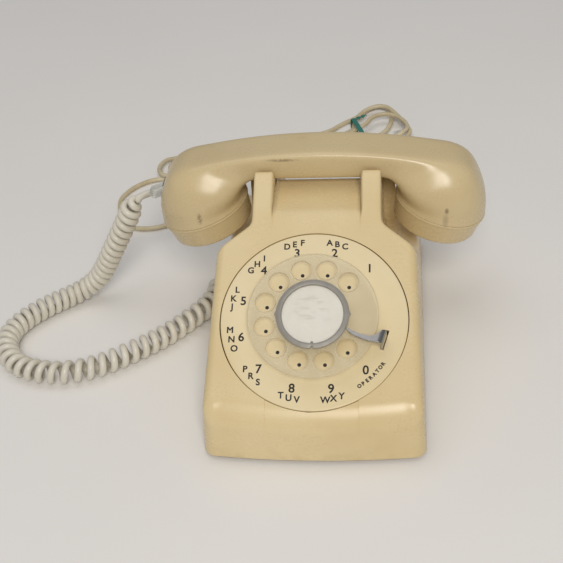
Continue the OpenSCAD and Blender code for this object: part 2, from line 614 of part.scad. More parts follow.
// Half widths at the top, middle and foot of each section, and how square it is.
top_half = [for (k = [0:9]) [15.5, 15.5, 15.5, 15.6, 16.4, 19, 23, 26.4, 28.6, shell_r][k] * handle_top_w / 31];
mid_half = [14, 14, 14.6, 17, 21.4, 25.4, 27.8, 28.9, 29.2, shell_r];
low_half = [for (k = [0:9]) [12.5, 12.5, 13, 14.6, 18, 22, 25, 27.2, 28.4, shell_r][k] * handle_low_w / 25];
square = [7, 7, 6.6, 6, 5, 4, 3.2, 2.5, 2.1, 2];
function curve(list, t) = let (n = len(list) - 1, i = min(floor(t * n), n - 1), u = t * n - i,
  a = list[max(i - 1, 0)], b = list[i], c = list[i + 1], d = list[min(i + 2, n)])
  0.5 * (2 * b + (c - a) * u + (2 * a - 5 * b + 4 * c - d) * u * u + (3 * b - 3 * c + d - a) * u * u * u);
function sgn_pow(x, e) = sign(x) * pow(abs(x), e);
section_n = 28;
half_steps = 17;
function section(t, side) = let (o = curve(outer_edge, t), i = curve(inner_edge, t),
  wt = curve(top_half, t), wm = curve(mid_half, t), wl = curve(low_half, t), q = curve(square, t))
  [for (k = [0:section_n - 1]) let (a = 360 * (k + 0.5) / section_n,
    p = sgn_pow(sin(a), 2 / (sin(a) > 0 ? q : 2 + (q - 2) * 0.5)),
    w = wm + (wt - wl) / 2 * p + ((wt + wl) / 2 - wm) * p * p,
    e = (o + i) / 2 + (o - i) / 2 * p)
    [side * e[0], cradle_y + w * sgn_pow(cos(a), 2 / q), e[1]]];
module loft(rings) {
  n = len(rings[0]);
  m = len(rings);
  polyhedron(points = [for (r = rings) each r], faces = concat([[for (k = [0:n - 1]) k]],
    [[for (k = [n - 1:-1:0]) (m - 1) * n + k]],
    [for (j = [0:m - 2], k = [0:n - 1]) each [
      [j * n + k, (j + 1) * n + k, (j + 1) * n + (k + 1) % n],
      [j * n + k, (j + 1) * n + (k + 1) % n, j * n + (k + 1) % n]]]));
}
module at_seam(side, s) translate([side * (seam[0] + s * cap_dir[0]), cradle_y, seam[1] + s * cap_dir[1]])
  rotate([0, side * (cap_tilt) + 180, 0]) children();
neck_r = cap_r - 3;
bore_r = neck_r - 1.9;
cavity_s = -8;
channel_s = -30;
channel_x = cap_x + 7;
socket_tilt = 20;
socket_in = 3.4;   // how deep the jack's mouth lies in its recess
socket_at = [-104.5, cradle_y, top_z - 33];
module at_socket() translate(socket_at) rotate([0, -90 - socket_tilt, 0]) children();
plug_w = 7.7;
plug_h = 6.5;
jack_wall = 1.6;
module jack_body(depth) difference() {
  translate([-plug_h / 2 - jack_wall, -plug_w / 2 - jack_wall, -depth])
    cube([plug_h + 2 * jack_wall, plug_w + 2 * jack_wall, depth]);
  translate([-plug_h / 2 - 0.15, -plug_w / 2 - 0.15, -depth + 2]) cube([plug_h + 0.3, plug_w + 0.3, depth]);
}
module plug(depth, stand) {
  translate([-plug_h / 2, -plug_w / 2, -depth]) cube([plug_h, plug_w, depth + stand]);
  translate([plug_h / 2, -1.6, -depth + 1]) cube([0.1, 3.2, depth - 2]);
}
module handset_shell() color("#d8c6a2") difference() {
  union() {
    loft(concat([for (k = [half_steps:-1:1]) section(k / half_steps, -1)],
      [for (k = [0:half_steps]) section(k / half_steps, 1)]));
    for (side = [-1, 1]) at_seam(side, -0.5) cylinder(r = neck_r, h = 7);
  }
  for (side = [-1, 1]) {
    at_seam(side, cavity_s) cylinder(r = bore_r, h = 20);
    at_seam(side, channel_s) cylinder(r = 5, h = 24);
  }
  translate([0, cradle_y, top_z - 14]) rod_x(3, -channel_x, channel_x);
  at_socket() translate([0, 0, -26]) cylinder(r = 2, h = 10);
  at_socket() translate([-plug_h / 2 - jack_wall - 0.1, -plug_w / 2 - jack_wall - 0.1,
    -socket_in - 15.1]) cube([plug_h + 2 * jack_wall + 0.2, plug_w + 2 * jack_wall + 0.2, 30]);
}
module cap(rings) difference() {
  rotate_extrude($fn = 64) polygon(rounded([[0, cap_h, 0], [cap_r - 2.6, cap_h, 2.2],
    [cap_r - 0.6, 2.2, 0], [cap_r, 1.6, 0.4], [cap_r, 0.3, 0], [neck_r + 0.2, 0.3, 0], [neck_r + 0.2, cap_h - cap_face_t, 0], [0, cap_h - cap_face_t, 0]], 4));
  for (ring = rings, k = [0:ring[1] - 1]) rotate(360 * k / ring[1])
    translate([ring[0], 0, 0]) cylinder(r = sound_r, h = 20, $fn = 16);
}
module transmitter_cap() color("#d8c6a2") at_seam(-1, 0) cap([[0, 1], [5, 6], [10, 12], [15, 18]]);
module receiver_cap() color("#d8c6a2") at_seam(1, 0) cap([[4.5, 6], [9, 8]]);
capsule_s = 1.4;
capsule_h = cap_h - cap_face_t - capsule_s - 0.4;
module transmitter_capsule() color("#a7a8a6") at_seam(-1, capsule_s) {
  cylinder(r = bore_r - slack, h = capsule_h - 1.2);
  cylinder(r = 17, h = capsule_h);
}
module receiver_capsule() color("#4a4a48") at_seam(1, capsule_s) {
  cylinder(r = bore_r - slack, h = capsule_h - 2);
  cylinder(r = 12, h = capsule_h);
}
module transmitter_cup() color("#35332f") at_seam(-1, -6.4) {
  tube(bore_r - slack, bore_r - 2.6, 7.4);
  cylinder(r = bore_r - slack, h = 1.4);
  for (x = [-9, 9]) translate([x, 0, 1.4]) cylinder(r = 2, h = 5.6);
}
module receiver_pad() color("#c9c3b2") at_seam(1, -6.4) tube(bore_r - 1, 8, 7.4);
module handset_jack() color("#cfc9b8") at_socket() translate([0, 0, -socket_in]) jack_body(15);
module handset_plug() color("#e9edee", 0.5) at_socket() plug(12 + socket_in, 8);
module base_jack() color("#2f2e2b") translate([-body_w / 2 + 0.4, jack_y, jack_z]) rotate([0, -90, 0])
  jack_body(17);
module base_plug() color("#e9edee", 0.5) translate([-body_w / 2 + 0.4, jack_y, jack_z])
  rotate([0, -90, 0]) plug(12.8, 1.4);
module line_jack() color("#2f2e2b") translate([line_x, back_y - 0.4, jack_z])
  rotate([-90, 0, 0]) rotate([0, 0, 90]) jack_body(17);
module line_plug() color("#e9edee", 0.5) translate([line_x, back_y - 0.4, jack_z])
  rotate([-90, 0, 0]) rotate([0, 0, 90]) plug(12.8, 2.4);

// ---- cords: routes of the middle line ----
curly_route = [[-112.5, 49, 88], [-118, 49, 86], [-123, 49, 83], [-127, 48.6, 78], [-130, 48.4, 72],
  [-134, 48, 64], [-139, 48, 55], [-144, 48, 46], [-149, 48, 37], [-154, 48, 28], [-160, 47.6, 19],
  [-168, 46, 12], [-178, 41.5, 8.6], [-188, 34, 8.2], [-198, 25, 8.2], [-207, 14, 8.2],
  [-213, 1, 8.2], [-213, -13, 8.2], [-207, -25, 8.2], [-197, -34, 8.2], [-184, -38.6, 8.2],
  [-170, -40, 8.2], [-156, -37.6, 8.2], [-142, -31.5, 8.2], [-128, -22, 8.2], [-114, -11, 8.2],
  [-101, 1.5, 8.2], [-90, 15, 8.2], [-81, 28, 8.2], [-76.5, 41, 8.2], [-76, 51, 8.6],
  [-76.4, 59, 9.6], [-75.4, 66, 11], [-72, 70.6, 11.8], [-67, 72, 12]];
thin_start = 2;
thin_end = 5;
curly_n = len(curly_route) - 1;
function curly_r(k) = k <= thin_start || k > curly_n - thin_end ? wire_d / 2
  : k == thin_start + 1 || k == curly_n - thin_end ? coil_d / 3 : coil_d / 2;
lead_route = [[20, 112, 12], [20, 116, 11.8], [19.4, 121, 9.6], [17, 127, 5.4], [11, 133, 2.4],
  [1, 138, 2], [-14, 142, 2], [-34, 145, 2], [-56, 146, 2], [-78, 145, 2], [-100, 142, 2],
  [-122, 136, 2], [-138, 130, 2], [-151, 130, 2], [-161, 137, 2], [-167, 149, 2], [-171, 161, 2],
  [-171.5, 172, 2], [-168, 181, 2], [-162, 189.5, 2], [-153, 196.5, 2], [-141, 201, 2]];
end_route = [[31, 248, 2], [37, 243, 2], [44, 243, 2.6], [49, 247, 3.2], [50, 251, 3.4]];
hank_at = [14, 272];
hank_turn = 19;
// A ring of n points round p, square to direction d, which is never upright.
function ring_at(p, d, r, n) = let (s = unit(cross(d, [0, 0, 1])), u = cross(s, d))
  [for (k = [0:n - 1]) p + r * (cos(360 * k / n) * s + sin(360 * k / n) * u)];
module swept(route, radii, n) {
  m = len(route) - 1;
  loft([for (k = [0:m]) ring_at(route[k], unit(route[min(k + 1, m)] - route[max(k - 1, 0)]),
    radii[k], n)]);
}
module curly_cord() color("#dcdad2") swept(curly_route, [for (k = [0:curly_n]) curly_r(k)], 12);
module line_cord_lead() color("#e3d9bb")
  swept(lead_route, [for (p = lead_route) line_d / 2], 8);
module line_cord_end() color("#e3d9bb") swept(end_route, [for (p = end_route) line_d / 2], 8);
module at_hank() translate([hank_at[0], hank_at[1], 0]) rotate(hank_turn) children();
module hank_outline() hull() {
  circle(r = fan_w / 2, $fn = 32);
  translate([-hank_len + (fan_w + hank_w) / 2, 0]) circle(r = hank_w / 2, $fn = 32);
}
module line_cord_hank() color("#e3d9bb") at_hank() linear_extrude(hank_h) hank_outline();
tie_w = 8;
module hank_tie() color("#2f7f72") at_hank() difference() {
  box([-tie_w / 2, tie_w / 2], [-fan_w / 2 - 1, fan_w / 2 + 1], [0, hank_h + 1]);
  translate([0, 0, -1]) linear_extrude(hank_h + 1) hank_outline();
}
module wall_plug() color("#e9edee", 0.5) translate([50, 263, 3.4]) rotate([-90, 0, 0])
  rotate([0, 0, 90]) plug(12, 0);

housing();
base_plate();
rubber_feet();
housing_screws();
number_ring();
finger_stop();
dial_frame();
dial_brackets();
governor_bracket();
governor_cup();
return_spring();
pulse_contacts();
fingerwheel();
card_retainer();
number_card();
card_cover();
main_shaft();
main_gear();
pinion_shaft();
pulse_cam();
worm_wheel();
governor_spindle();
governor_weights();
network_block();
terminal_screws();
ringer_frame();
ringer_coil();
gong_left();
gong_right();
gong_screws();
clapper();
loudness_wheel();
loudness_bracket();
hook_bracket();
hook_pin();
hook_lever();
hook_spring();
hook_contacts();
plunger_left();
plunger_right();
handset_shell();
transmitter_cap();
receiver_cap();
transmitter_capsule();
receiver_capsule();
transmitter_cup();
receiver_pad();
handset_jack();
handset_plug();
base_jack();
base_plug();
line_jack();
line_plug();
curly_cord();
line_cord_lead();
line_cord_hank();
line_cord_end();
hank_tie();
wall_plug();
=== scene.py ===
import json
import math

import bmesh
import bpy
import numpy as np
from mathutils import Matrix


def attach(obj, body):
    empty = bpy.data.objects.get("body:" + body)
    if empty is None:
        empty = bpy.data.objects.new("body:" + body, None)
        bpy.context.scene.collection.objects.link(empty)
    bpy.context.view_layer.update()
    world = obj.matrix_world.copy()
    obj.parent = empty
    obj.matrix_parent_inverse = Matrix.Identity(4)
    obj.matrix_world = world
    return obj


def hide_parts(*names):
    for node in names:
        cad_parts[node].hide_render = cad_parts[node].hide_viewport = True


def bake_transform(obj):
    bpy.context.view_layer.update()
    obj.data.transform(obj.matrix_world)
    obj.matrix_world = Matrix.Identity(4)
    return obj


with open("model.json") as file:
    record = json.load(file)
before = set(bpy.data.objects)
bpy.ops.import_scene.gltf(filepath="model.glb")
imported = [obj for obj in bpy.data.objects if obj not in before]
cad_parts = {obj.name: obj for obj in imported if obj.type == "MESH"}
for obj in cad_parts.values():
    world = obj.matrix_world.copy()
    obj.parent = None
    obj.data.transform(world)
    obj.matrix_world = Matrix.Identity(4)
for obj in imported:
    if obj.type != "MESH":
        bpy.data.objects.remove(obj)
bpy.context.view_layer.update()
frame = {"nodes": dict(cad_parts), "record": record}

# ---- Where the telephone is seen from ----
# A short telephoto lens, a little to the right of the telephone, looking down over the dial.
camera = bpy.data.objects.new("camera", bpy.data.cameras.new("camera"))
bpy.context.scene.collection.objects.link(camera)
camera.matrix_world = Matrix((
    (0.99375, 0.00831, 0.11131, 0.0539),
    (0.08240, 0.61808, -0.78178, -0.5509),
    (-0.07530, 0.78607, 0.61353, 0.4828),
    (0, 0, 0, 1)))
camera.data.sensor_width = 36
camera.data.lens = 70.34
bpy.context.scene.camera = camera

# ---- Handset cord ----
# A coiled cord of grey white vinyl over four tinsel wires. It leaves the mouth end of the
# handset, drops to the table, bows out to the left and comes back to the side of the body.
# The wire is a tube round a helix, and the helix winds round the cord's route.
MM = 0.001


def unit(v):
    """Each vector divided by its own length."""
    return v / np.linalg.norm(v, axis=-1, keepdims=True)


def smooth_route(points, step):
    """A Catmull-Rom curve through the points, cut again into equal steps along its length."""
    p = np.asarray(points, float)
    p = np.concatenate([[2 * p[0] - p[1]], p, [2 * p[-1] - p[-2]]])
    t = np.linspace(0, len(p) - 3 - 1e-9, 40 * len(p))
    i, u = t.astype(int), (t % 1)[:, None]
    a, b, c, d = p[i], p[i + 1], p[i + 2], p[i + 3]
    line = 0.5 * (2 * b + (c - a) * u + (2 * a - 5 * b + 4 * c - d) * u ** 2
                  + (3 * b - 3 * c + d - a) * u ** 3)
    along = np.concatenate([[0], np.cumsum(np.linalg.norm(np.diff(line, axis=0), axis=1))])
    even = np.linspace(0, along[-1], int(along[-1] / step) + 2)
    return np.stack([np.interp(even, along, line[:, k]) for k in range(3)], 1)


def tube(path, radius, sides, outward=None):
    """Rings of points round a path: its point + radius (cos a outward + sin a across)."""
    ahead = unit(np.gradient(path, axis=0))
    outward = np.cross(ahead, [0, 0, 1]) if outward is None else outward
    outward = unit(outward - ahead * (outward * ahead).sum(1, keepdims=True))
    across = np.cross(ahead, outward)
    a = np.linspace(0, 2 * math.pi, sides, endpoint=False)[None, :, None]
    radius = np.broadcast_to(radius, len(path))[:, None, None]
    return path[:, None] + radius * (np.cos(a) * outward[:, None] + np.sin(a) * across[:, None])


def skin(grid, wrap=True, caps=(False, False), slot=0, marks=None):
    """A grid of points, rows by columns, as a mesh part: a face for each cell, the last column
    joined to the first if it wraps, a face over its first and last rows if they are capped,
    a material slot, and named numbers for its points."""
    rows, columns = grid.shape[:2]
    row = np.arange(rows - 1)[:, None] * columns
    here = np.arange(columns if wrap else columns - 1)
    there = (here + 1) % columns
    cells = np.stack(np.broadcast_arrays(row + here, row + there, row + columns + there,
                                         row + columns + here), -1).reshape(-1, 4).tolist()
    if caps[0]:
        cells.append(list(range(columns))[::-1])
    if caps[1]:
        cells.append(list(range((rows - 1) * columns, rows * columns)))
    return grid.reshape(-1, 3), cells, slot, marks or {}


def solid(grid, **more):
    """A closed grid, with a face over both its ends."""
    return skin(grid, caps=(True, True), **more)


def smooth_faces(mesh, sharp):
    """Smooth shading, with the edges sharper than that many degrees left crisp."""
    mesh.polygons.foreach_set("use_smooth", np.ones(len(mesh.polygons), bool))
    mesh.set_sharp_from_angle(angle=math.radians(sharp))


def piece(name, body, finishes, *skins, merge=1e-3, sharp=38):
    """One object from mesh parts in millimetres: points closer than merge become one, faces are
    turned outwards, the finishes fill its slots, and it rides on the body."""
    mesh = bpy.data.meshes.new(name)
    starts = np.cumsum([0] + [len(s[0]) for s in skins])
    cells = [[i + start for i in cell] for s, start in zip(skins, starts) for cell in s[1]]
    mesh.from_pydata(np.concatenate([s[0] for s in skins]) * MM, [], cells)
    mesh.polygons.foreach_set("material_index", np.concatenate([[s[2]] * len(s[1]) for s in skins]))
    for mark in {m for s in skins for m in s[3]}:
        values = np.concatenate([np.broadcast_to(s[3].get(mark, 0.0), len(s[0])) for s in skins])
        mesh.attributes.new(mark, "FLOAT", "POINT").data.foreach_set("value", values)
    shape = bmesh.new()
    shape.from_mesh(mesh)
    bmesh.ops.remove_doubles(shape, verts=shape.verts, dist=merge * MM)
    bmesh.ops.dissolve_degenerate(shape, edges=shape.edges, dist=1e-7)
    bmesh.ops.recalc_face_normals(shape, faces=shape.faces)
    if shape.calc_volume(signed=True) < 0:
        bmesh.ops.reverse_faces(shape, faces=shape.faces)
    shape.to_mesh(mesh)
    shape.free()
    smooth_faces(mesh, sharp)
    made = bpy.data.objects.new(name, mesh)
    bpy.context.scene.collection.objects.link(made)
    for finish in finishes:
        mesh.materials.append(finish.material)
    if body:
        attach(made, body)
    return made


def rgb(r, g, b):
    """A screen colour, 0 to 255, as the linear colour a shader takes."""
    c = np.array([r, g, b]) / 255
    return (*np.where(c <= 0.04045, c / 12.92, ((c + 0.055) / 1.055) ** 2.4).tolist(), 1)


class Value:
    """A number or colour that varies over a surface. Sums on it add Math nodes."""

    def __init__(self, finish, socket):
        self.finish, self.socket = finish, socket

    def math(self, operation, *values):
        return self.finish.node("Math", {"operation": operation}, dict(enumerate(values)))

    def __add__(self, other):
        return self.math("ADD", self, other)

    def __sub__(self, other):
        return self.math("SUBTRACT", self, other)

    def __rsub__(self, other):
        return self.math("SUBTRACT", other, self)

    def __mul__(self, other):
        return self.math("MULTIPLY", self, other)

    __radd__, __rmul__ = __add__, __mul__

    def between(self, low, high):
        """0 at low and 1 at high, with a smooth step between; low may be the larger."""
        return self.finish.node("MapRange", {"interpolation_type": "SMOOTHSTEP"},
                                {"Value": self, "From Min": low, "From Max": high})


class Finish:
    """One surface finish: a Principled shader with its fixed values, and what varies over it."""

    def __init__(self, name, **fixed):
        self.material = bpy.data.materials.new(name)
        self.material.use_nodes = True
        self.tree = self.material.node_tree
        self.shader = self.tree.nodes["Principled BSDF"]
        for socket, value in fixed.items():
            self.shader.inputs[socket.replace("_", " ")].default_value = value
        self.place = self.node("TexCoord", out="Object")

    def node(self, kind, settings=None, inputs=None, out=0):
        """Any node by its type, its settings, and its sockets' values or links."""
        node = self.tree.nodes.new("ShaderNode" + kind)
        for key, value in (settings or {}).items():
            setattr(node, key, value)
        for key, value in (inputs or {}).items():
            if isinstance(value, Value):
                self.tree.links.new(value.socket, node.inputs[key])
            else:
                node.inputs[key].default_value = value
        return Value(self, node.outputs[out])

    def noise(self, size, detail=3.0, stretch=(1, 1, 1), rough=0.55):
        """Cloudy noise whose lumps are about that many millimetres across."""
        place = self.node("Mapping", None, {"Vector": self.place, "Scale": stretch})
        return self.node("TexNoise", None, {"Vector": place, "Scale": 1 / (size * MM),
                                            "Detail": detail, "Roughness": rough})

    def near(self, point, radius, core=0.35, stretch=(1, 1, 1)):
        """1 at a point in millimetres, and 0 beyond the radius."""
        off = self.node("VectorMath", {"operation": "SUBTRACT"},
                        {0: self.place, 1: [float(v) * MM for v in point]})
        off = self.node("VectorMath", {"operation": "MULTIPLY"}, {0: off, 1: stretch})
        return self.node("VectorMath", {"operation": "LENGTH"}, {0: off}, out="Value").between(
            radius * MM, radius * core * MM)

    def axis(self, k):
        """The object's own x, y or z in metres."""
        return self.node("SeparateXYZ", None, {0: self.place}, out=k)

    def mark(self, name):
        """A number kept with the mesh's points."""
        return self.node("Attribute", {"attribute_name": name}, out="Fac")

    def mix(self, amount, low, high):
        """The low colour where amount is 0, and the high one where it is 1."""
        return self.node("Mix", {"data_type": "RGBA"}, {0: amount, 6: low, 7: high}, out=2)

    def feed(self, **sockets):
        """Links values to the shader's own sockets."""
        for socket, value in sockets.items():
            self.tree.links.new(value.socket, self.shader.inputs[socket.replace("_", " ")])

    def tones(self, light, dark, size, rough, wear, spread=0.2, detail=3.0):
        """Two tones in a cloudy mottle of that size, and a roughness that varies by spread."""
        self.feed(Base_Color=self.mix(self.noise(size, detail), light, dark),
                  Roughness=rough + spread * self.noise(wear))

    def bump(self, height, depth, strength=1.0):
        """Relief of that many millimetres where height goes from 0 to 1."""
        self.feed(Normal=self.node("Bump", None, {"Height": height, "Distance": depth * MM,
                                                  "Strength": strength}))


curly_vinyl = Finish("curly_vinyl", IOR=1.5)
# Painted shade: the side of the wire that faces the coil's middle is darkened towards brown in
# cloudy patches, and is made rougher there.
coil_inside_shade = curly_vinyl.mark("inside").between(0.45, 1.0) * curly_vinyl.noise(14).between(0.2, 0.7)
curly_vinyl.feed(
    Base_Color=curly_vinyl.mix(coil_inside_shade * 0.62, curly_vinyl.mix(
        curly_vinyl.noise(30), rgb(206, 200, 184), rgb(228, 224, 212)), rgb(118, 104, 82)),
    Roughness=0.26 + curly_vinyl.noise(6) * 0.18 + coil_inside_shade * 0.3)
curly_vinyl.bump(curly_vinyl.noise(3), 0.05)

WIRE_R = 2.4
COIL_R = 5.4           # from the coil's middle to the wire's
TIGHT, SLACK = 5.7, 7.6    # pitch near the handset, and along the table
curly_route = smooth_route([
    [-112.5, 49, 88], [-118, 49, 86], [-123, 49, 83], [-127, 48.6, 78], [-130, 48.4, 72],
    [-134, 48, 64], [-139, 48, 55], [-144, 48, 46], [-149, 48, 37], [-154, 48, 28],
    [-160, 47.6, 19], [-168, 46, 12], [-178, 41.5, 8.6], [-188, 34, 8.2], [-198, 25, 8.2],
    [-207, 14, 8.2], [-213, 1, 8.2], [-213, -13, 8.2], [-207, -25, 8.2], [-197, -34, 8.2],
    [-184, -38.6, 8.2], [-170, -40, 8.2], [-156, -37.6, 8.2], [-142, -31.5, 8.2],
    [-128, -22, 8.2], [-114, -11, 8.2], [-101, 1.5, 8.2], [-90, 15, 8.2], [-81, 28, 8.2],
    [-76.5, 41, 8.2], [-76, 51, 8.6], [-76.4, 59, 9.6], [-75.4, 66, 11], [-72, 70.6, 11.8],
    [-67, 72, 12]], 0.2)


def helix(route, step):
    """Points on a helix round a route, and the way out from the route at each. The pitch eases
    from TIGHT to SLACK, and the radius grows from 0 at both ends, so the wire runs out straight."""
    along = np.linspace(0, 0.2 * (len(route) - 1), len(route))
    share = along / along[-1]
    rise = lambda x: np.clip(x, 0, 1) ** 2 * (3 - 2 * np.clip(x, 0, 1))
    pitch = TIGHT + (SLACK - TIGHT) * rise((share - 0.3) / 0.25)
    pitch = pitch * (1 + 0.05 * np.sin(along / 17) + 0.04 * np.sin(along / 7.3 + 1))
    radius = COIL_R * rise((along - 8) / 14) * rise((along[-1] - along - 16) / 14)
    turn = np.cumsum(0.2 * 2 * math.pi / pitch * (0.15 + 0.85 * (radius > 0.02)))
    keep = np.interp(np.arange(0, turn[-1], step), turn, np.arange(len(route)))
    at = lambda v: np.interp(keep, np.arange(len(route)), v)
    ahead = unit(np.gradient(route, axis=0))
    side = unit(np.cross(ahead, [0, 0, 1]))
    over = np.cross(side, ahead)
    a = np.arange(0, turn[-1], step)[:, None]
    out = (np.cos(a) * np.stack([at(side[:, k]) for k in range(3)], 1)
           + np.sin(a) * np.stack([at(over[:, k]) for k in range(3)], 1))
    middle = np.stack([at(route[:, k]) for k in range(3)], 1)
    return middle + at(radius)[:, None] * out, out


curly_line, curly_out = helix(curly_route, 2 * math.pi / 22)
curly_line = np.concatenate([curly_line, [curly_route[-1]]])
curly_out = np.concatenate([curly_out, curly_out[-1:]])
curly_rings = tube(curly_line, WIRE_R, 12, curly_out)
inside = 0.5 - 0.5 * np.cos(np.linspace(0, 2 * math.pi, 12, endpoint=False))
curly = piece("curly_cord_coil", None, [curly_vinyl], solid(
    curly_rings, marks={"inside": np.tile(inside, len(curly_line))}), sharp=70)
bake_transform(curly)
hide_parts("curly_cord")
(curly_line * MM).tolist()

# ---- Line cord ----
# A thin ivory cord, 1.9 m long, from the jack in the back to a modular plug. Its spare length is
# folded into a hank of three loops that lies behind the telephone, fanned open at the right.
line_vinyl = Finish("line_vinyl", IOR=1.5)
line_vinyl.feed(
    Base_Color=line_vinyl.mix(line_vinyl.noise(25).between(0.3, 0.75), rgb(214, 202, 170),
                              rgb(188, 172, 136)),
    Roughness=0.3 + line_vinyl.noise(5) * 0.2)
line_vinyl.bump(line_vinyl.noise(2), 0.04)

LINE_R = 1.8
lead = [[20, 112, 12], [20, 116, 11.8], [19.4, 121, 9.6], [17, 127, 5.4], [11, 133, 2.4],
        [1, 138, 2], [-14, 142, 2], [-34, 145, 2], [-56, 146, 2], [-78, 145, 2], [-100, 142, 2],
        [-122, 136, 2], [-138, 130, 2], [-151, 130, 2], [-161, 137, 2], [-167, 149, 2],
        [-171, 161, 2], [-171.5, 172, 2], [-168, 181, 2], [-162, 189.5, 2], [-153, 196.5, 2],
        [-141, 200, 2]]
loop_1 = [[-122, 202, 2], [-90, 209, 2], [-50, 221, 2], [-10, 237, 2], [18, 248, 2],
          [36.3, 264.7, 2], [41.9, 275.6, 2.4], [44, 287, 3], [42.9, 297, 3.6], [39.2, 306.3, 3.2],
          [32.5, 310.7, 2.6], [25.8, 308, 2], [20, 301.5, 2], [14.4, 293.4, 2], [0, 280, 2],
          [-9.5, 270, 2], [-30, 260, 2], [-60, 252, 2], [-100, 241, 2], [-128, 234, 2]]
loop_2 = [[-138, 230.5, 2.2], [-143.5, 227, 3], [-146.8, 220, 3.8], [-147.4, 212.6, 4.6],
          [-145.1, 203.7, 5.6], [-138, 198, 5.8], [-122, 200, 4.6], [-90, 206, 2], [-50, 217, 2],
          [-10, 232, 2], [28, 243, 2], [50, 249.5, 3], [58.8, 257.8, 5.6], [57.3, 268.5, 5.8],
          [52.5, 280, 5.6], [45.9, 291.8, 6.6], [39.3, 300.5, 7], [30.9, 302.6, 6.6],
          [22.6, 299, 5.8], [16.2, 290, 5.6], [12.4, 278.7, 5], [9.4, 267.5, 3], [-12, 258, 2],
          [-60, 247, 2], [-100, 236.5, 2], [-124, 230, 2]]
loop_3 = [[-134, 225, 2.4], [-138.5, 219, 3.4], [-137.5, 211, 4.2], [-130, 206, 5.4],
          [-112, 207, 4.8], [-90, 212, 2.8], [-50, 225, 2], [-10, 241, 2.6], [20, 247, 5.4],
          [44, 251, 5.8], [55.5, 258, 8.6], [56.5, 266.9, 9], [50.9, 277.8, 9], [42.7, 283.7, 9],
          [34.5, 284.1, 9], [26.3, 279, 8.6], [21.5, 272, 7], [4, 259, 4.4], [-30, 249, 2],
          [-60, 242.5, 2], [-95, 233, 2], [-112, 227, 2], [-124, 220, 2.6], [-126, 214.5, 3],
          [-120, 210.5, 3.4], [-104, 213, 3], [-88, 218, 2.4], [-50, 229.5, 2], [-10, 246, 2.4],
          [12, 250.5, 3]]
tail = [[31, 248.6, 6.2], [38, 244, 4], [44, 243, 2.6], [48.6, 246.4, 3.2], [50, 251, 3.4]]
line_route = smooth_route(lead + loop_1 + loop_2 + loop_3 + tail, 1.6)
line_cord = piece("line_cord_run", "base", [line_vinyl],
                  solid(tube(line_route, LINE_R, 12)), sharp=70)
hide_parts("line_cord_lead", "line_cord_hank", "line_cord_end")

# ---- Modular plugs ----
# Clear moulded plugs with a spring latch, ribs across the back and four gilt contacts. One ends
# each side of the handset cord, one joins the line cord to the body and one is on its free end.
clear_nylon = Finish("clear_nylon", IOR=1.46, Roughness=0.16)
clear_nylon.feed(
    Base_Color=clear_nylon.mix(clear_nylon.noise(6), rgb(226, 228, 224), rgb(204, 204, 194)),
    Alpha=0.34 + 0.5 * clear_nylon.node("LayerWeight", None, {"Blend": 0.35}, out="Facing")
    + 0.08 * clear_nylon.noise(4))
gilt = Finish("gilt_contacts", Metallic=1.0)
gilt.tones(rgb(206, 164, 84), rgb(180, 136, 66), 3, 0.28, 2)
PLUG_W, PLUG_H = 7.7, 6.5


def bar(outline, x0, x1, steps=1):
    """An outline in y and z carried straight along x, as a closed grid: x by corner."""
    outline = np.asarray(outline, float)
    x = np.linspace(x0, x1, steps + 1)[:, None, None]
    return np.concatenate([np.broadcast_to(x, (len(x), len(outline), 1)),
                           np.broadcast_to(outline, (len(x), *outline.shape))], 2)


def rounded(corners, steps=5):
    """An outline whose corners, each x, y and a radius, are turned into arcs of that radius."""
    out, count = [], len(corners)
    for i, (x, y, r) in enumerate(corners):
        k = np.array([x, y], float)
        if not r:
            out.append(k[None])
            continue
        a = unit(np.array(corners[i - 1][:2]) - k)
        b = unit(np.array(corners[(i + 1) % count][:2]) - k)
        half = math.acos(np.clip(a @ b, -1, 1)) / 2
        middle = k + unit(a + b) * r / math.sin(half)
        start, end = k + a * r / math.tan(half) - middle, k + b * r / math.tan(half) - middle
        a0, a1 = math.atan2(*start[::-1]), math.atan2(*end[::-1])
        turn = (a1 - a0 + 3 * math.pi) % (2 * math.pi) - math.pi
        t = a0 + turn * np.linspace(0, 1, steps + 1)
        out.append(middle + r * np.stack([np.cos(t), np.sin(t)], 1))
    return np.concatenate(out)


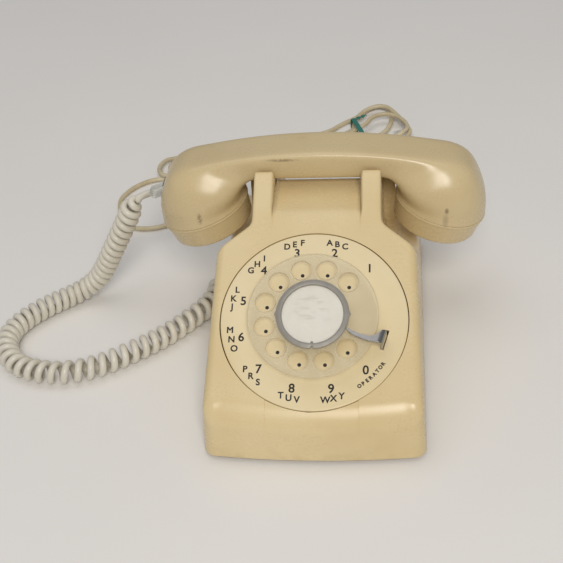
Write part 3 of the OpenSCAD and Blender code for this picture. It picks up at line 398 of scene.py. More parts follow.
def modular_plug(name, body, end, ahead, up, length, replaces):
    """A plug whose cord leaves at end, pointing ahead into its jack, with its latch on the up
    side. Its side outline is carried across its width, and ribs and contacts are added."""
    ahead, up = unit(np.array(ahead, float)), unit(np.array(up, float))
    turn = np.stack([np.cross(ahead, up), ahead, up])
    lay = lambda grid: grid @ turn + end
    w, h = PLUG_W / 2, PLUG_H / 2
    front = length - 4
    body_side = rounded([[0, -h * 0.7, 0.4], [2, -h, 0.4], [length, -h, 0.3],
                         [length, h * 0.5, 0.3], [front, h * 0.8, 0.4], [0, h * 0.8, 0.5]], 3)
    latch = rounded([[length - 0.4, h * 0.45, 0.2], [length - 0.3, h * 0.8, 0.3],
                     [4, h + 0.05, 0.4], [0.6, h + 0.3, 0.2], [0.6, h - 0.3, 0.2],
                     [4, h - 0.45, 0.4]], 3)
    skins = [solid(lay(bar(body_side, -w, w, 6))), solid(lay(bar(latch, -1.6, 1.6)))]
    for y in np.arange(1.6, 5.2, 1.1):
        rib = rounded([[y - 0.3, -h - 0.14, 0.1], [y + 0.3, -h - 0.14, 0.1], [y + 0.3, -h * 0.7, 0],
                       [y - 0.3, -h * 0.7, 0]], 2)
        skins.append(solid(lay(bar(rib, -w * 0.92, w * 0.92))))
    for x in (-1.53, -0.51, 0.51, 1.53):
        blade = [[length - 4.2, -h - 0.02], [length - 0.5, -h - 0.02], [length - 0.5, -h + 1.4],
                 [length - 4.2, -h + 1.4]]
        skins.append(solid(lay(bar(blade, x - 0.18, x + 0.18)), slot=1))
    plug = piece(name, body, [clear_nylon, gilt], *skins, merge=1e-4, sharp=30)
    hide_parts(replaces)
    return plug


tilt = math.radians(20)
SOCKET = np.array([-104.5, 49, 91])
plug_ahead = np.array([math.cos(tilt), 0, math.sin(tilt)])
modular_plug("handset_cord_plug", "handset", SOCKET - 8 * plug_ahead, plug_ahead,
             (-math.sin(tilt), 0, math.cos(tilt)), 20, "handset_plug")
modular_plug("base_cord_plug", "base", (-67, 72, 12), (1, 0, 0), (0, 0, 1), 14.2, "base_plug")
modular_plug("line_cord_plug", "base", (20, 112, 12), (0, -1, 0), (0, 0, 1), 15.2, "line_plug")
wall_plug = modular_plug("wall_end_plug", "base", (50, 251, 3.4), (0, 1, 0), (0, 0, 1), 12,
                         "wall_plug")

# ---- Cord tie ----
# A green plastic covered wire, bent once round the upper runs of the hank and twisted shut.
tie_vinyl = Finish("tie_vinyl")
tie_vinyl.tones(rgb(52, 132, 118), rgb(34, 104, 96), 3, 0.34, 2)
turn = math.radians(19)
hank_ahead = np.array([math.cos(turn), math.sin(turn), 0])
hank_side = np.array([-math.sin(turn), math.cos(turn), 0])
band = rounded([[-17, 0.5, 3], [10, 0.5, 3], [10, 10.6, 3], [-17, 10.6, 3]], 6)
band_line = np.array([14, 268, 0]) + band[:, :1] * hank_side + band[:, 1:] * np.array([0, 0, 1])
band_out = unit(band - band.mean(0))
band_out = band_out[:, :1] * hank_side + band_out[:, 1:] * np.array([0, 0, 1])
strip = rounded([[-2, -0.3, 0.25], [2, -0.3, 0.25], [2, 0.3, 0.25], [-2, 0.3, 0.25]], 2)
band_grid = (band_line[:, None] + strip[None, :, :1] * hank_ahead
             + strip[None, :, 1:] * band_out[:, None])
tail_u = np.linspace(0, 1, 25)[:, None]
twist = (tail_u * 9)[:, None]
tail_line = band_line[14] + tail_u * (13 * hank_ahead + 3 * hank_side) + [0, 0, 0.8]
upright = np.array([0, 0, 1])
tail_grid = (tail_line[:, None]
             + strip[None, :, :1] * (np.cos(twist) * hank_side + np.sin(twist) * 0.4 * upright)
             + strip[None, :, 1:] * (np.cos(twist) * upright - np.sin(twist) * hank_side))
tie = piece("hank_twist_tie", "base", [tie_vinyl],
            skin(np.concatenate([band_grid, band_grid[:1]])), solid(tail_grid))
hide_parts("hank_tie")

# ---- Housing ----
# One moulding in ivory ABS, 2.5 mm thick: the sloping dial face, the shoulders that fall away
# beside the cradle, and the ears and rear prongs that hold the handset. It sits on the base plate.


def old_plastic(name, light, shade, **fixed):
    """Moulded plastic that has aged: a slow mottle, fine specks and a gloss that wears unevenly."""
    finish = Finish(name, IOR=1.5, **fixed)
    finish.colour = finish.mix(finish.noise(85, 4).between(0.28, 0.75), light, shade)
    specks = finish.noise(1.6, 2).between(0.70, 0.80) * 0.16
    finish.colour = finish.mix(specks, finish.colour, rgb(120, 96, 62))
    finish.gloss = 0.19 + finish.noise(40, 5) * 0.12 + finish.noise(2.2, 2) * 0.05
    return finish


ivory = old_plastic("ivory_housing", rgb(226, 207, 163), rgb(215, 192, 143))
low = ivory.axis(2).between(0.016, 0.002) * ivory.noise(11, 4).between(0.38, 0.68)
# Painted shade: the lower halves of the ears' and prongs' walls, at their feet, are darkened
# towards brown in cloudy patches.
nook = ivory.mark("nook") * ivory.noise(9).between(0.2, 0.6)
ivory.feed(Base_Color=ivory.mix(low * 0.14 + nook * 0.2, ivory.colour, rgb(128, 98, 58)),
           Roughness=ivory.gloss + low * 0.2)
ivory.bump(ivory.noise(1.4, 2) * 0.3 + ivory.noise(24, 2), 0.09, 0.5)

TILT = math.radians(29.5)
DRAFT = math.tan(math.radians(3.5))
FACE_Y, FACE_Z = -53, 63
HALF_W, HALF_D, FOOT = 66, 110, 3
EAR_TOP, SEAT, BRIDGE = 113, 102.7, 98
SEAT_FRONT, SEAT_BACK, BRIDGE_BACK = 33, 65, 48
BAND = 7


def soft_min(a, b, k):
    """The lower of two heights, with their crossing rounded over a difference of k."""
    h = np.clip(0.5 + 0.5 * (b - a) / k, 0, 1)
    return b * (1 - h) + a * h - k * h * (1 - h)


def soft_max(a, b, k):
    """The higher of two heights, with their crossing rounded."""
    return -soft_min(-a, -b, k)


def ease(x):
    """A smooth step from 0 to 1."""
    x = np.clip(x, 0, 1)
    return x * x * (3 - 2 * x)


def cliff(t, at, high, low, r_high, r_low, lean=0.5):
    """Height along t of a wall that falls at a place, with its edge and its foot rounded."""
    over = high - r_high + np.sqrt(r_high ** 2 - np.clip(t - at + r_high, 0, r_high) ** 2)
    foot = low + r_low - np.sqrt(r_low ** 2 - np.clip(at + lean + r_low - t, 0, r_low) ** 2)
    share = np.clip((t - at) / lean, 0, 1)
    return over * (1 - share) + foot * share


def face(y):
    """Height of the dial face's plane."""
    return FACE_Z + (y - FACE_Y) * math.tan(TILT)


def deck(y):
    """The dial face in front, and the low top behind it that slopes down to the back."""
    return soft_min(face(y), 60 - 0.05445 * (y + 58.3), 3)


def middle_top(y):
    """Height between the ears: the face, the shelf, and the drop behind it."""
    return cliff(y, BRIDGE_BACK, soft_min(face(y), BRIDGE, 2.5), deck(y), 2.5, 2)


def ear_top(y):
    """Height of an ear: its slope, its tip, the seat, the rear prong and the slope behind it."""
    front = soft_min(92.05 + (y + 1.65) * math.tan(math.radians(33.7)), EAR_TOP, 2)
    rear = soft_max(soft_min(EAR_TOP - (y - 69) * 2.296, EAR_TOP, 4), deck(y), 4)
    return np.where(y < 49, cliff(y, SEAT_FRONT, front, SEAT, 1.4, 2),
                    cliff(-y, -SEAT_BACK, rear, SEAT, 1.4, 2))


def side_top(x, y):
    """Height outside the ears: the face, the shoulders and the deck."""
    shoulder = 134.16 - 0.957 * x - 0.755 * y
    back = 96.48 - (y - 6.18) * 0.8326
    return soft_max(soft_min(soft_min(face(y), back, 3), shoulder, 1.6), deck(y), 5)


def wall_columns(y, low, high, x_low, x_high, r_low, r_high, outward):
    """Columns up a wall at each y: a foot arc, the wall and an edge arc. Their x and the share of
    the wall's height; outward is 1 where the wall rises as x grows."""
    rise = np.maximum(high - low, 1e-6)[:, None]
    most = np.arccos(np.clip(1 - rise / (r_low + r_high), 0, 1))
    t = np.linspace(0, 1, 6)[None]
    foot_x, foot_z = -r_low * (np.sin(most) - np.sin(most * t)), r_low * (1 - np.cos(most * t))
    edge_x = r_high * (np.sin(most) - np.sin(most * (1 - t)))
    edge_z = rise - r_high * (1 - np.cos(most * (1 - t)))
    step = np.array([0.33, 0.67])[None]
    wall_z = foot_z[:, -1:] + (edge_z[:, :1] - foot_z[:, -1:]) * step
    share = np.clip(np.concatenate([foot_z, wall_z, edge_z], 1) / rise, 0, 1)
    x = np.concatenate([foot_x, wall_z * 0, edge_x], 1)
    return (x_low + (x_high - x_low) * share) + outward * x, share


def plan_rows():
    """Where the rows of the housing's top lie, closer together where its height turns sharply."""
    spans = [(-103, -95, 10), (-95, -55, 18), (-55, 25, 64), (25, 31.4, 9), (31.4, 35.6, 22),
             (35.6, 40.6, 4), (40.6, 48, 22), (48, 62.4, 7), (62.4, 66.6, 26), (66.6, 74, 9),
             (74, 103, 16)]
    return np.unique(np.round(np.concatenate([np.linspace(*s) for s in spans]), 3))


rows = plan_rows()
low_mid, high = middle_top(rows), ear_top(rows)
wide = ease((rows - 63.6) / 1.6)
out_top, out_foot = 39.6 + 7.6 * wide, 41 + 8 * wide
inner_x, inner_share = wall_columns(rows, low_mid, high, 27, 27.4, 2.2, 1.5, 1)
outer_x, outer_share = wall_columns(rows, side_top(out_foot, rows), high, out_foot[:, None],
                                    out_top[:, None], 2.2, 1.5, -1)
outer_x, outer_share = outer_x[:, ::-1], outer_share[:, ::-1]
between = lambda a, b, n: a + (b - a) * np.linspace(0, 1, n)[None]
half_x = np.concatenate([
    between(0 * inner_x[:, :1], inner_x[:, :1], 9)[:, :-1], inner_x,
    between(inner_x[:, -1:], outer_x[:, :1], 6)[:, 1:-1], outer_x,
    between(outer_x[:, -1:], np.full((len(rows), 1), HALF_W - BAND), 16)[:, 1:]], 1)
n_mid = 8 + inner_x.shape[1] // 2
share = np.concatenate([np.zeros((len(rows), 8)), inner_share, np.ones((len(rows), 4)), outer_share,
                        np.zeros((len(rows), 15))], 1)
plan_x = np.concatenate([-half_x[:, :0:-1], half_x], 1)
plan_y = np.broadcast_to(rows[:, None], plan_x.shape)
lift = np.concatenate([share[:, :0:-1], share], 1)

# The skirt: a loop round the top's edge, with a quarter turn at each corner.
corner = np.linspace(0, 90, 9)


def edge_run(x, y, a):
    """Points on the top's edge, with the plan direction they face, in degrees."""
    return np.stack(np.broadcast_arrays(x, y, np.radians(a)), -1)


edge_x = HALF_W - BAND
loop = np.concatenate([
    edge_run(plan_x[0], rows[0], -90), edge_run(edge_x, rows[0], -90 + corner),
    edge_run(edge_x, rows, 0), edge_run(edge_x, rows[-1], corner),
    edge_run(plan_x[-1, ::-1], rows[-1], 90), edge_run(-edge_x, rows[-1], 90 + corner),
    edge_run(-edge_x, rows[::-1], 180), edge_run(-edge_x, rows[0], 180 + corner)])
band_b = BAND * (1 - np.sin(np.linspace(0, math.pi / 2, 13)))
wall_t = np.concatenate([np.zeros(13), np.linspace(0, 1, 12)[1:]])[:, None]
reach = np.concatenate([BAND - band_b, np.full(11, float(BAND))])[:, None]
skirt_x = loop[None, :, 0] + reach * np.cos(loop[None, :, 2])
skirt_y = loop[None, :, 1] + reach * np.sin(loop[None, :, 2])


def housing_points(px, py, share, wall):
    """The plan points with their height: the top of that place, lowered by a rounded edge near
    the outline, pulled in by the moulding's draft and pushed back by the bow of the front."""
    b_side, b_front, b_back = HALF_W - np.abs(px), py + HALF_D, HALF_D - py
    front = py < 0
    b_end = np.where(front, b_front, b_back)
    q_side, q_end = np.clip(BAND - b_side, 0, None), np.clip(BAND - b_end, 0, None)
    in_corner = (q_side > 0) & (q_end > 0)
    b = np.where(in_corner, BAND - np.hypot(q_side, q_end), np.minimum(b_side, b_end))
    b = np.maximum(b, 0)
    weight = ease(0.5 + (b_side - b_end) / (2 * BAND))
    r = 5 + (np.where(front, 9.6, 14.7) - 5) * weight
    drop = r - np.sqrt(np.maximum(r ** 2 - np.clip(r - b, 0, None) ** 2, 0))
    bow = 4 * (px / HALF_W) ** 2 * ease((-55 - py) / 55)
    gx, gy = ease((np.abs(px) - 49) / 10), ease((np.abs(py) - 80) / 23)
    x, y = px, py + bow
    for _ in range(4):
        top = np.where(share[1], middle_top(y), side_top(np.abs(x), y))
        top = top + share[0] * np.maximum(ear_top(y) - top, 0)
        z = FOOT + (np.maximum(top - drop, FOOT) - FOOT) * (1 - wall)
        x = px - np.sign(px) * DRAFT * (z - FOOT) * gx
        y = py + bow - np.sign(py) * DRAFT * (z - FOOT) * gy
    return np.stack([x, y, z], -1)


column = np.arange(plan_x.shape[1]) - plan_x.shape[1] // 2
middle_part = np.broadcast_to(np.abs(column) < n_mid, plan_x.shape)
top_grid = housing_points(plan_x, plan_y, (lift, middle_part), 0)
edge_middle = np.concatenate([middle_part[0], np.zeros(9, bool), np.zeros(len(rows), bool),
                              np.zeros(9, bool), middle_part[-1], np.zeros(9, bool),
                              np.zeros(len(rows), bool), np.zeros(9, bool)])
edge_middle = np.broadcast_to(edge_middle, skirt_x.shape)
skirt_grid = housing_points(skirt_x, skirt_y, (0, edge_middle), wall_t)
# The walls' lower halves beside the ears and prongs, which get the painted shade.
shaded_wall_foot = (lift > 0.001) & (lift < 0.45) & (high - low_mid > 2)[:, None]
housing = piece("housing_moulding", "base", [ivory],
                skin(top_grid, wrap=False, marks={"nook": shaded_wall_foot.ravel().astype(float)}),
                skin(skirt_grid, caps=(False, True)), merge=2e-2)


def cutter(*skins):
    """A closed solid that is only used to cut another, and is then removed."""
    return piece("cutter", None, [], *skins, sharp=30)


def rod(centre, radius, z0, z1, sides=32):
    """An upright cylinder as a grid of two rings."""
    a = np.linspace(0, 2 * math.pi, sides, endpoint=False)
    ring = np.stack([centre[0] + radius * np.cos(a), centre[1] + radius * np.sin(a), 0 * a], 1)
    return np.stack([ring + [0, 0, z0], ring + [0, 0, z1]])


def to_dial(grid):
    """From the dial's own axes, with height over its face, to the telephone's."""
    turn = np.array([[1, 0, 0], [0, math.cos(TILT), math.sin(TILT)],
                     [0, -math.sin(TILT), math.cos(TILT)]])
    return grid @ turn + [0, FACE_Y, FACE_Z]


def cut(made, tool):
    """Takes the tool's volume out of a closed solid, as one finished mesh."""
    hole = made.modifiers.new("hole", "BOOLEAN")
    hole.object, hole.solver = tool, "EXACT"
    bake_shape(made)
    bpy.data.objects.remove(tool)


def bake_shape(made, sharp=35):
    """Turns an object's modifiers or curve into its plain mesh."""
    graph = bpy.context.evaluated_depsgraph_get()
    done = bpy.data.meshes.new_from_object(made.evaluated_get(graph))
    made.modifiers.clear()
    made.data = done
    smooth_faces(done, sharp)


def box_rings(x, y, z):
    """An upright box as a grid of two rings."""
    ring = np.array([[x[0], y[0], 0], [x[1], y[0], 0], [x[1], y[1], 0], [x[0], y[1], 0]], float)
    return np.stack([ring + [0, 0, z[0]], ring + [0, 0, z[1]]])


def hollow(made, gone, thickness):
    """Takes away the faces whose middles are gone, and gives the skin that is left its wall."""
    shape = bmesh.new()
    shape.from_mesh(made.data)
    middles = np.array([f.calc_center_median() for f in shape.faces]) / MM
    lost = [f for f, out in zip(shape.faces, gone(middles)) if out]
    bmesh.ops.delete(shape, geom=lost, context="FACES")
    shape.to_mesh(made.data)
    shape.free()
    wall = made.modifiers.new("wall", "SOLIDIFY")
    wall.thickness, wall.offset = thickness * MM, -1
    bake_shape(made)


HOLE_R, PLUNGER_X, PLUNGER_Y, PLUNGER_HOLE, HOLE_EDGE = 56.5, 33.75, 49, 2.7, 0.03
SIDE_JACK, BACK_JACK = ((-70, -58), (65.7, 78.3)), ((13.7, 26.3), (102, 114))
JACK_Z = (6.7, 17.3)
cut(housing, cutter(
    solid(to_dial(rod((0, 0), HOLE_R, -9, 5, 144))),
    *[solid(rod((x, PLUNGER_Y), PLUNGER_HOLE, 90, 110)) for x in (-PLUNGER_X, PLUNGER_X)],
    *[solid(box_rings(*jack, JACK_Z)) for jack in (SIDE_JACK, BACK_JACK)]))


def cut_faces(at):
    """The faces of the foot, and of the pits that the cuts left in the closed solid."""
    x, y, z = at.T
    over = at - [0, FACE_Y, FACE_Z]
    up = over @ [0, -math.sin(TILT), math.cos(TILT)]
    gone = (z < FOOT + 0.01) | ((np.sqrt((over ** 2).sum(1) - up ** 2) < HOLE_R + HOLE_EDGE)
                                & (np.abs(up) < 9.1))
    gone |= (np.hypot(np.abs(x) - PLUNGER_X, y - PLUNGER_Y) < PLUNGER_HOLE + HOLE_EDGE) & (z > 80)
    for (x0, x1), (y0, y1) in (SIDE_JACK, BACK_JACK):
        gone |= ((x > x0 - HOLE_EDGE) & (x < x1 + HOLE_EDGE) & (y > y0 - HOLE_EDGE)
                 & (y < y1 + HOLE_EDGE) & (z > JACK_Z[0] - HOLE_EDGE) & (z < JACK_Z[1] + HOLE_EDGE))
    return gone


hollow(housing, cut_faces, 2.5)
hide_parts("housing")

# ---- Number ring ----
# A flat moulded disc in paler ivory, let into the face. Its characters are printed in black: a
# figure and its letters beyond each finger hole, and a dot that shows through the hole.
ring_ivory = old_plastic("ring_plastic", rgb(233, 218, 180), rgb(224, 205, 160))
ring_ivory.feed(Base_Color=ring_ivory.colour, Roughness=ring_ivory.gloss + 0.02)
ring_ivory.bump(ring_ivory.noise(18, 2), 0.05, 0.5)
ink = Finish("printed_black")
ink.tones(rgb(15, 14, 13), rgb(30, 27, 24), 2, 0.42, 1)
RING_R, PITCH_R, FIRST_HOLE = 56, 29.2, 44.5


def lathe(outline, sides):
    """An outline of radius and height, turned round the upright axis."""
    a = np.linspace(0, 2 * math.pi, sides, endpoint=False)[None]
    r, h = np.asarray(outline)[:, :1], np.asarray(outline)[:, 1:]
    return np.stack([r * np.cos(a), r * np.sin(a), np.broadcast_to(h, (len(r), sides))], -1)


ring_outline = rounded([[12.5, -2, 0], [12.5, 0, 0.3], [RING_R, 0, 0.7], [RING_R, -8, 0],
                        [RING_R - 2, -8, 0], [RING_R - 2, -2, 0]])
ring_grid = lathe(np.concatenate([ring_outline, ring_outline[:1]]), 180)
number_ring = piece("number_ring_face", "base", [ring_ivory], skin(to_dial(ring_grid)))
STOP_ANGLE, STOP_H, STOP_OUT = -17, 11.1, 44.6


def on_stop(grid):
    """From the finger stop's own axes, x outwards, to the telephone's."""
    a = math.radians(STOP_ANGLE)
    return to_dial(grid @ np.array([[math.cos(a), math.sin(a), 0], [-math.sin(a), math.cos(a), 0],
                                    [0, 0, 1]]))


cut(number_ring, cutter(solid(on_stop(box_rings((42.9, 44.9), (-6.3, 6.3), (-9, 1))))))
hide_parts("number_ring")


def flat_mesh(curve):
    """The points and faces of a text or flat curve, as a mesh would have them."""
    holder = bpy.data.objects.new("flat", curve)
    bpy.context.scene.collection.objects.link(holder)
    graph = bpy.context.evaluated_depsgraph_get()
    mesh = bpy.data.meshes.new_from_object(holder.evaluated_get(graph))
    bpy.data.objects.remove(holder)
    points = np.empty(len(mesh.vertices) * 3)
    mesh.vertices.foreach_get("co", points)
    return points.reshape(-1, 3), [list(p.vertices) for p in mesh.polygons]


STROKE = 0.17          # how far the bevel thickens a printed stroke on each side


def glyph(text, size, r, angle, turn=0.0):
    """Printed text of that height, centred at a radius and angle on the dial, as points and
    faces. A flattened bevel thickens its strokes, and it is made a mesh before it is placed."""
    curve = bpy.data.curves.new("glyph", "FONT")
    curve.body, curve.size = text, 1.0
    curve.align_x, curve.resolution_u = "CENTER", 5
    curve.bevel_depth, curve.bevel_resolution = STROKE * 0.7 / size, 0
    points, cells = flat_mesh(curve)
    middle = (points.max(0) + points.min(0)) / 2
    points = (points - middle) * size / 0.7 * [1, 1, 0.2]
    a, t = math.radians(angle), math.radians(turn)
    spin = np.array([[math.cos(t), math.sin(t), 0], [-math.sin(t), math.cos(t), 0], [0, 0, 1]])
    points = points @ spin + [r * math.cos(a), r * math.sin(a) + 0.45, 0.03]
    return to_dial(points), cells, 0, {}


LETTERS = ["", "ABC", "DEF", "GHI", "JKL", "MNO", "PRS", "TUV", "WXY", ""]
prints = []
for k, letters in enumerate(LETTERS):
    at = FIRST_HOLE + 30 * k
    prints.append(glyph(str((k + 1) % 10), 5.3, 46.3 if k == 0 else 44.3, at))
    way = (5.1 + 1.8 * abs(math.cos(math.radians(at)))) * (-1 if k < 5 else 1)
    for j, letter in enumerate(letters):
        prints.append(glyph(letter, 3.8, 50.3, at + way * (j - 1)))
    dot = lathe([[1.15, 0.03], [0.0, 0.03]], 24) + [PITCH_R * math.cos(math.radians(at)),
                                                  PITCH_R * math.sin(math.radians(at)), 0]
    prints.append(skin(to_dial(dot)))
for j, letter in enumerate("OPERATOR"):
    at = 303.6 + 3.2 * j
    prints.append(glyph(letter, 2.1, 49.6, at, turn=at + 90))
numerals = piece("dial_numerals", "base", [ink], *prints, merge=1e-4)

# ---- Finger stop ----
# A blade of bright plated steel over the finger wheel, bent down outside it through the ring.
chrome = Finish("bright_metal", Metallic=1.0)
chrome.feed(Base_Color=chrome.mix(chrome.noise(5), rgb(176, 175, 174), rgb(140, 139, 138)),
            Roughness=0.16 + 0.16 * chrome.noise(3, stretch=(1, 0.2, 1)))
chrome.bump(chrome.noise(4), 0.03)
reach = np.linspace(22.2, STOP_OUT - 3, 34)
bend = np.linspace(0, math.pi / 2, 9)[1:]
stop_r = np.concatenate([reach, STOP_OUT - 3 + 2.3 * np.sin(bend), np.full(8, STOP_OUT - 0.7)])
stop_z = np.concatenate([np.full(34, STOP_H + 0.7), STOP_H - 1.6 + 2.3 * np.cos(bend),
                         np.linspace(STOP_H - 3, -11, 8)])
STOP_STEPS = [22, 24, 28, 32, 36, 39.5, 42, 45]
upper = np.interp(stop_r, STOP_STEPS, [-2.4, -3.4, -4.2, -4.4, -4, -2.6, 1.6, 3])
lower = np.interp(stop_r, STOP_STEPS, [-3.6, -5.2, -6.6, -7, -7.2, -7, -6.4, -6.2])
across = np.linspace(0, 1, 9)[None, :, None]
stop_mid = np.stack([stop_r, 0 * stop_r, stop_z], -1)[:, None] + np.zeros((1, 9, 1))
stop_mid[..., 1] = (lower[:, None, None] + (upper - lower)[:, None, None] * across)[..., 0]
stop = piece("finger_stop_blade", "base", [chrome], skin(on_stop(stop_mid), wrap=False), sharp=60)
plate = stop.modifiers.new("plate", "SOLIDIFY")
plate.thickness, plate.offset = 0.0014, 0
edge = stop.modifiers.new("edge", "BEVEL")
edge.width, edge.segments = 0.00035, 3
edge.limit_method, edge.angle_limit = "ANGLE", math.radians(50)
bake_shape(stop, 50)
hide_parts("finger_stop")

# ---- Finger wheel ----
# Clear acrylic, 3 mm thick, with ten holes whose rims are eased and a well in its middle for the
# number card. It turns on the dial's shaft.
acrylic = Finish("clear_acrylic", IOR=1.49)
haze = acrylic.noise(12, 4)
acrylic.feed(
    Base_Color=acrylic.mix(haze, rgb(238, 228, 200), rgb(222, 208, 172)),
    Alpha=0.2 + 0.12 * haze + 0.6 * acrylic.node("LayerWeight", None, {"Blend": 0.4}, out="Facing"),
    Roughness=0.08 + 0.16 * acrylic.noise(7, 4))
WHEEL_R, WHEEL_Z, WHEEL_T = 38.8, 6.6, 3
EASE = 0.5             # radius of the eased rims
FINGER_R, WELL_R, HUB_R = 6.1, 18.5, 3.2     # finger holes, the card's well and the bore
CARD_R, CARD_Z, CARD_TOP, COVER_Z, DOME_TOP = 18.2, 8.9, 9.2, 9.5, 10.5


def flat_ring(curve, centre, radius, count):
    """Adds a closed circle to a flat curve."""
    spline = curve.splines.new("POLY")
    spline.points.add(count - 1)
    a = np.linspace(0, 2 * math.pi, count, endpoint=False)
    points = np.stack([centre[0] + radius * np.cos(a), centre[1] + radius * np.sin(a), 0 * a,
                       0 * a + 1], 1)
    spline.points.foreach_set("co", points.ravel())
    spline.use_cyclic_u = True


wheel_curve = bpy.data.curves.new("finger_wheel_clear", "CURVE")
wheel_curve.dimensions, wheel_curve.fill_mode = "2D", "BOTH"
flat_ring(wheel_curve, (0, 0), WHEEL_R - EASE, 180)
for k in range(10):
    a = math.radians(FIRST_HOLE + 30 * k)
    flat_ring(wheel_curve, (PITCH_R * math.cos(a), PITCH_R * math.sin(a)), FINGER_R + EASE, 64)
flat_ring(wheel_curve, (0, 0), WELL_R + EASE, 96)
wheel_curve.extrude = WHEEL_T / 2 - EASE
wheel_curve.bevel_depth, wheel_curve.bevel_resolution = EASE, 3
wheel_points, wheel_cells = flat_mesh(wheel_curve)
wheel_points = to_dial(wheel_points + [0, 0, WHEEL_Z + WHEEL_T / 2])
web = [[HUB_R, WHEEL_Z], [WELL_R, WHEEL_Z], [WELL_R, CARD_Z - 0.1], [HUB_R, CARD_Z - 0.1],
       [HUB_R, WHEEL_Z]]
wheel = piece("finger_wheel", "dial_rotor", [acrylic], skin(to_dial(lathe(web, 96))),
              (wheel_points, wheel_cells, 0, {}), sharp=60)
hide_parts("fingerwheel")

# ---- Number card, its cover and the ring that holds them ----
# A white paper disc under a clear domed cover, held in the wheel by a dull grey metal ring.
card_paper = Finish("paper_card")
smudge = (card_paper.noise(7, 3, (1, 3, 3)).between(0.52, 0.66)
          * card_paper.near(to_dial(np.array([0, 3, 9])), 15, 0.5))
plain = card_paper.mix(smudge * 0.22, card_paper.mix(
    card_paper.noise(16), rgb(236, 234, 226), rgb(228, 225, 214)), rgb(150, 144, 130))
card_paper.feed(Roughness=0.5 + 0.2 * card_paper.noise(4))
# Painted shade: a dark spot on the card's edge below the holding ring's notch stands in for the
# shade in that gap.
notch_shade_dot = card_paper.near(to_dial(np.array([0, -17.6, 9.2])), 1.1, 0.7)
card_paper.feed(Base_Color=card_paper.mix(notch_shade_dot * 0.85, plain, rgb(52, 44, 36)))
card = piece("number_card_disc", "dial_rotor", [card_paper], skin(to_dial(lathe(
    [[0, CARD_Z], [CARD_R, CARD_Z], [CARD_R, CARD_TOP - 0.05], [CARD_R - 0.1, CARD_TOP],
     [0, CARD_TOP]], 96))), sharp=20)
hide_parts("number_card")
cover_clear = Finish("clear_cover", IOR=1.49, Roughness=0.1)
cover_clear.feed(Base_Color=cover_clear.mix(cover_clear.noise(9), rgb(240, 240, 234),
                                            rgb(226, 224, 214)),
                 Alpha=0.05 + 0.06 * cover_clear.noise(6, 4) + 0.4 * cover_clear.node(
                     "LayerWeight", None, {"Blend": 0.3}, out="Facing"))
COVER_R = CARD_R + 0.2
dome_r = np.linspace(0, COVER_R, 14)
dome = np.stack([dome_r, DOME_TOP - 0.35 * (dome_r / COVER_R) ** 2], 1)
dome = np.concatenate([dome, [[COVER_R, COVER_Z], [0, COVER_Z]]])
cover = piece("card_cover_dome", "dial_rotor", [cover_clear], skin(to_dial(lathe(dome, 96))))
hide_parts("card_cover")
dull_metal = Finish("grey_metal", Metallic=0.3)
dull_metal.tones(rgb(160, 157, 150), rgb(140, 136, 129), 6, 0.42, 3)
dull_metal.bump(dull_metal.noise(0.8), 0.03)
BAND_IN, BAND_OUT, BAND_Z = 18.3, 21.6, WHEEL_Z + WHEEL_T
band_outline = rounded([[BAND_IN, BAND_Z, 0], [BAND_IN, 10.7, 0.3], [19.4, 10.9, 0.3],
                        [BAND_OUT, 10.4, 0.3], [BAND_OUT, BAND_Z, 0]], 3)
ring_turn = lathe(np.concatenate([band_outline, band_outline[:1]]), 180)
a = np.linspace(0, 2 * math.pi, 180, endpoint=False)
tab = ease(1 - np.abs((a + math.pi / 2) % math.pi - math.pi / 2) / 0.1)
notch = ease(1 - np.abs(a - 1.5 * math.pi) / 0.06)
radius = np.linalg.norm(ring_turn[..., :2], axis=-1)
grow = 1 + (0.9 * tab - 1.6 * notch) / BAND_OUT * (radius > 21)
ring_turn[..., :2] *= grow[..., None]
retainer = piece("card_holding_ring", "dial_rotor", [dull_metal], skin(to_dial(ring_turn)))
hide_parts("card_retainer")

# ---- Handset ----
# A thick moulding in ivory, a little greyer than the housing: a squarish handle that swells into
# round ends, each closed by a screwed cap. Its sections fan out from the handle's middle to the
# caps' seams, and a bore behind each cap holds its capsule.
grip = old_plastic("ivory_handset", rgb(212, 193, 151), rgb(200, 178, 134))
scratch = grip.noise(2.2, 3).between(0.34, 0.5)
rub = grip.noise(1.6, 2).between(0.36, 0.5)
scuffs = (grip.near((-22, 34.7, 119.9), 1.5, 0.3, (0.1, 1, 1)) * scratch
          + grip.near((-76.2, 21, 86), 3.4, 0.2, (1.6, 0.3, 0.6)) * rub
          + grip.near((80.3, 23, 89), 2.4, 0.5, (1.2, 0.4, 0.8))
          + grip.near((79.6, 23, 82), 5, 0.2, (1.8, 0.3, 0.7)) * 0.5)
worn = grip.noise(5, 5, (0.3, 1, 1)).between(0.66, 0.74)
grip.feed(Base_Color=grip.mix(scuffs * 0.6 + worn * 0.1, grip.colour, rgb(92, 70, 50)),
          Roughness=grip.gloss + scuffs * 0.2)
grip.bump(grip.noise(1.4, 2) * 0.3 + grip.noise(20, 2), 0.08, 0.5)
TOP, UNDER = 124, 103.1
CAP_TILT, SHELL_R, CAP_R = math.radians(16), 29.7, 30
SEAM = np.array([77.6, 79])
seam_dir = np.array([math.cos(CAP_TILT), -math.sin(CAP_TILT)])
cap_dir = np.array([-math.sin(CAP_TILT), -math.cos(CAP_TILT)])
outer_edge = [[0, TOP], [25, TOP - 0.9], [50, TOP - 3.4], [72, TOP - 7], [87, TOP - 10.4],
              [96.5, TOP - 16.5], [102, TOP - 26], [105.4, TOP - 36.5], [106.4, TOP - 45.5],
              SEAM + SHELL_R * seam_dir]
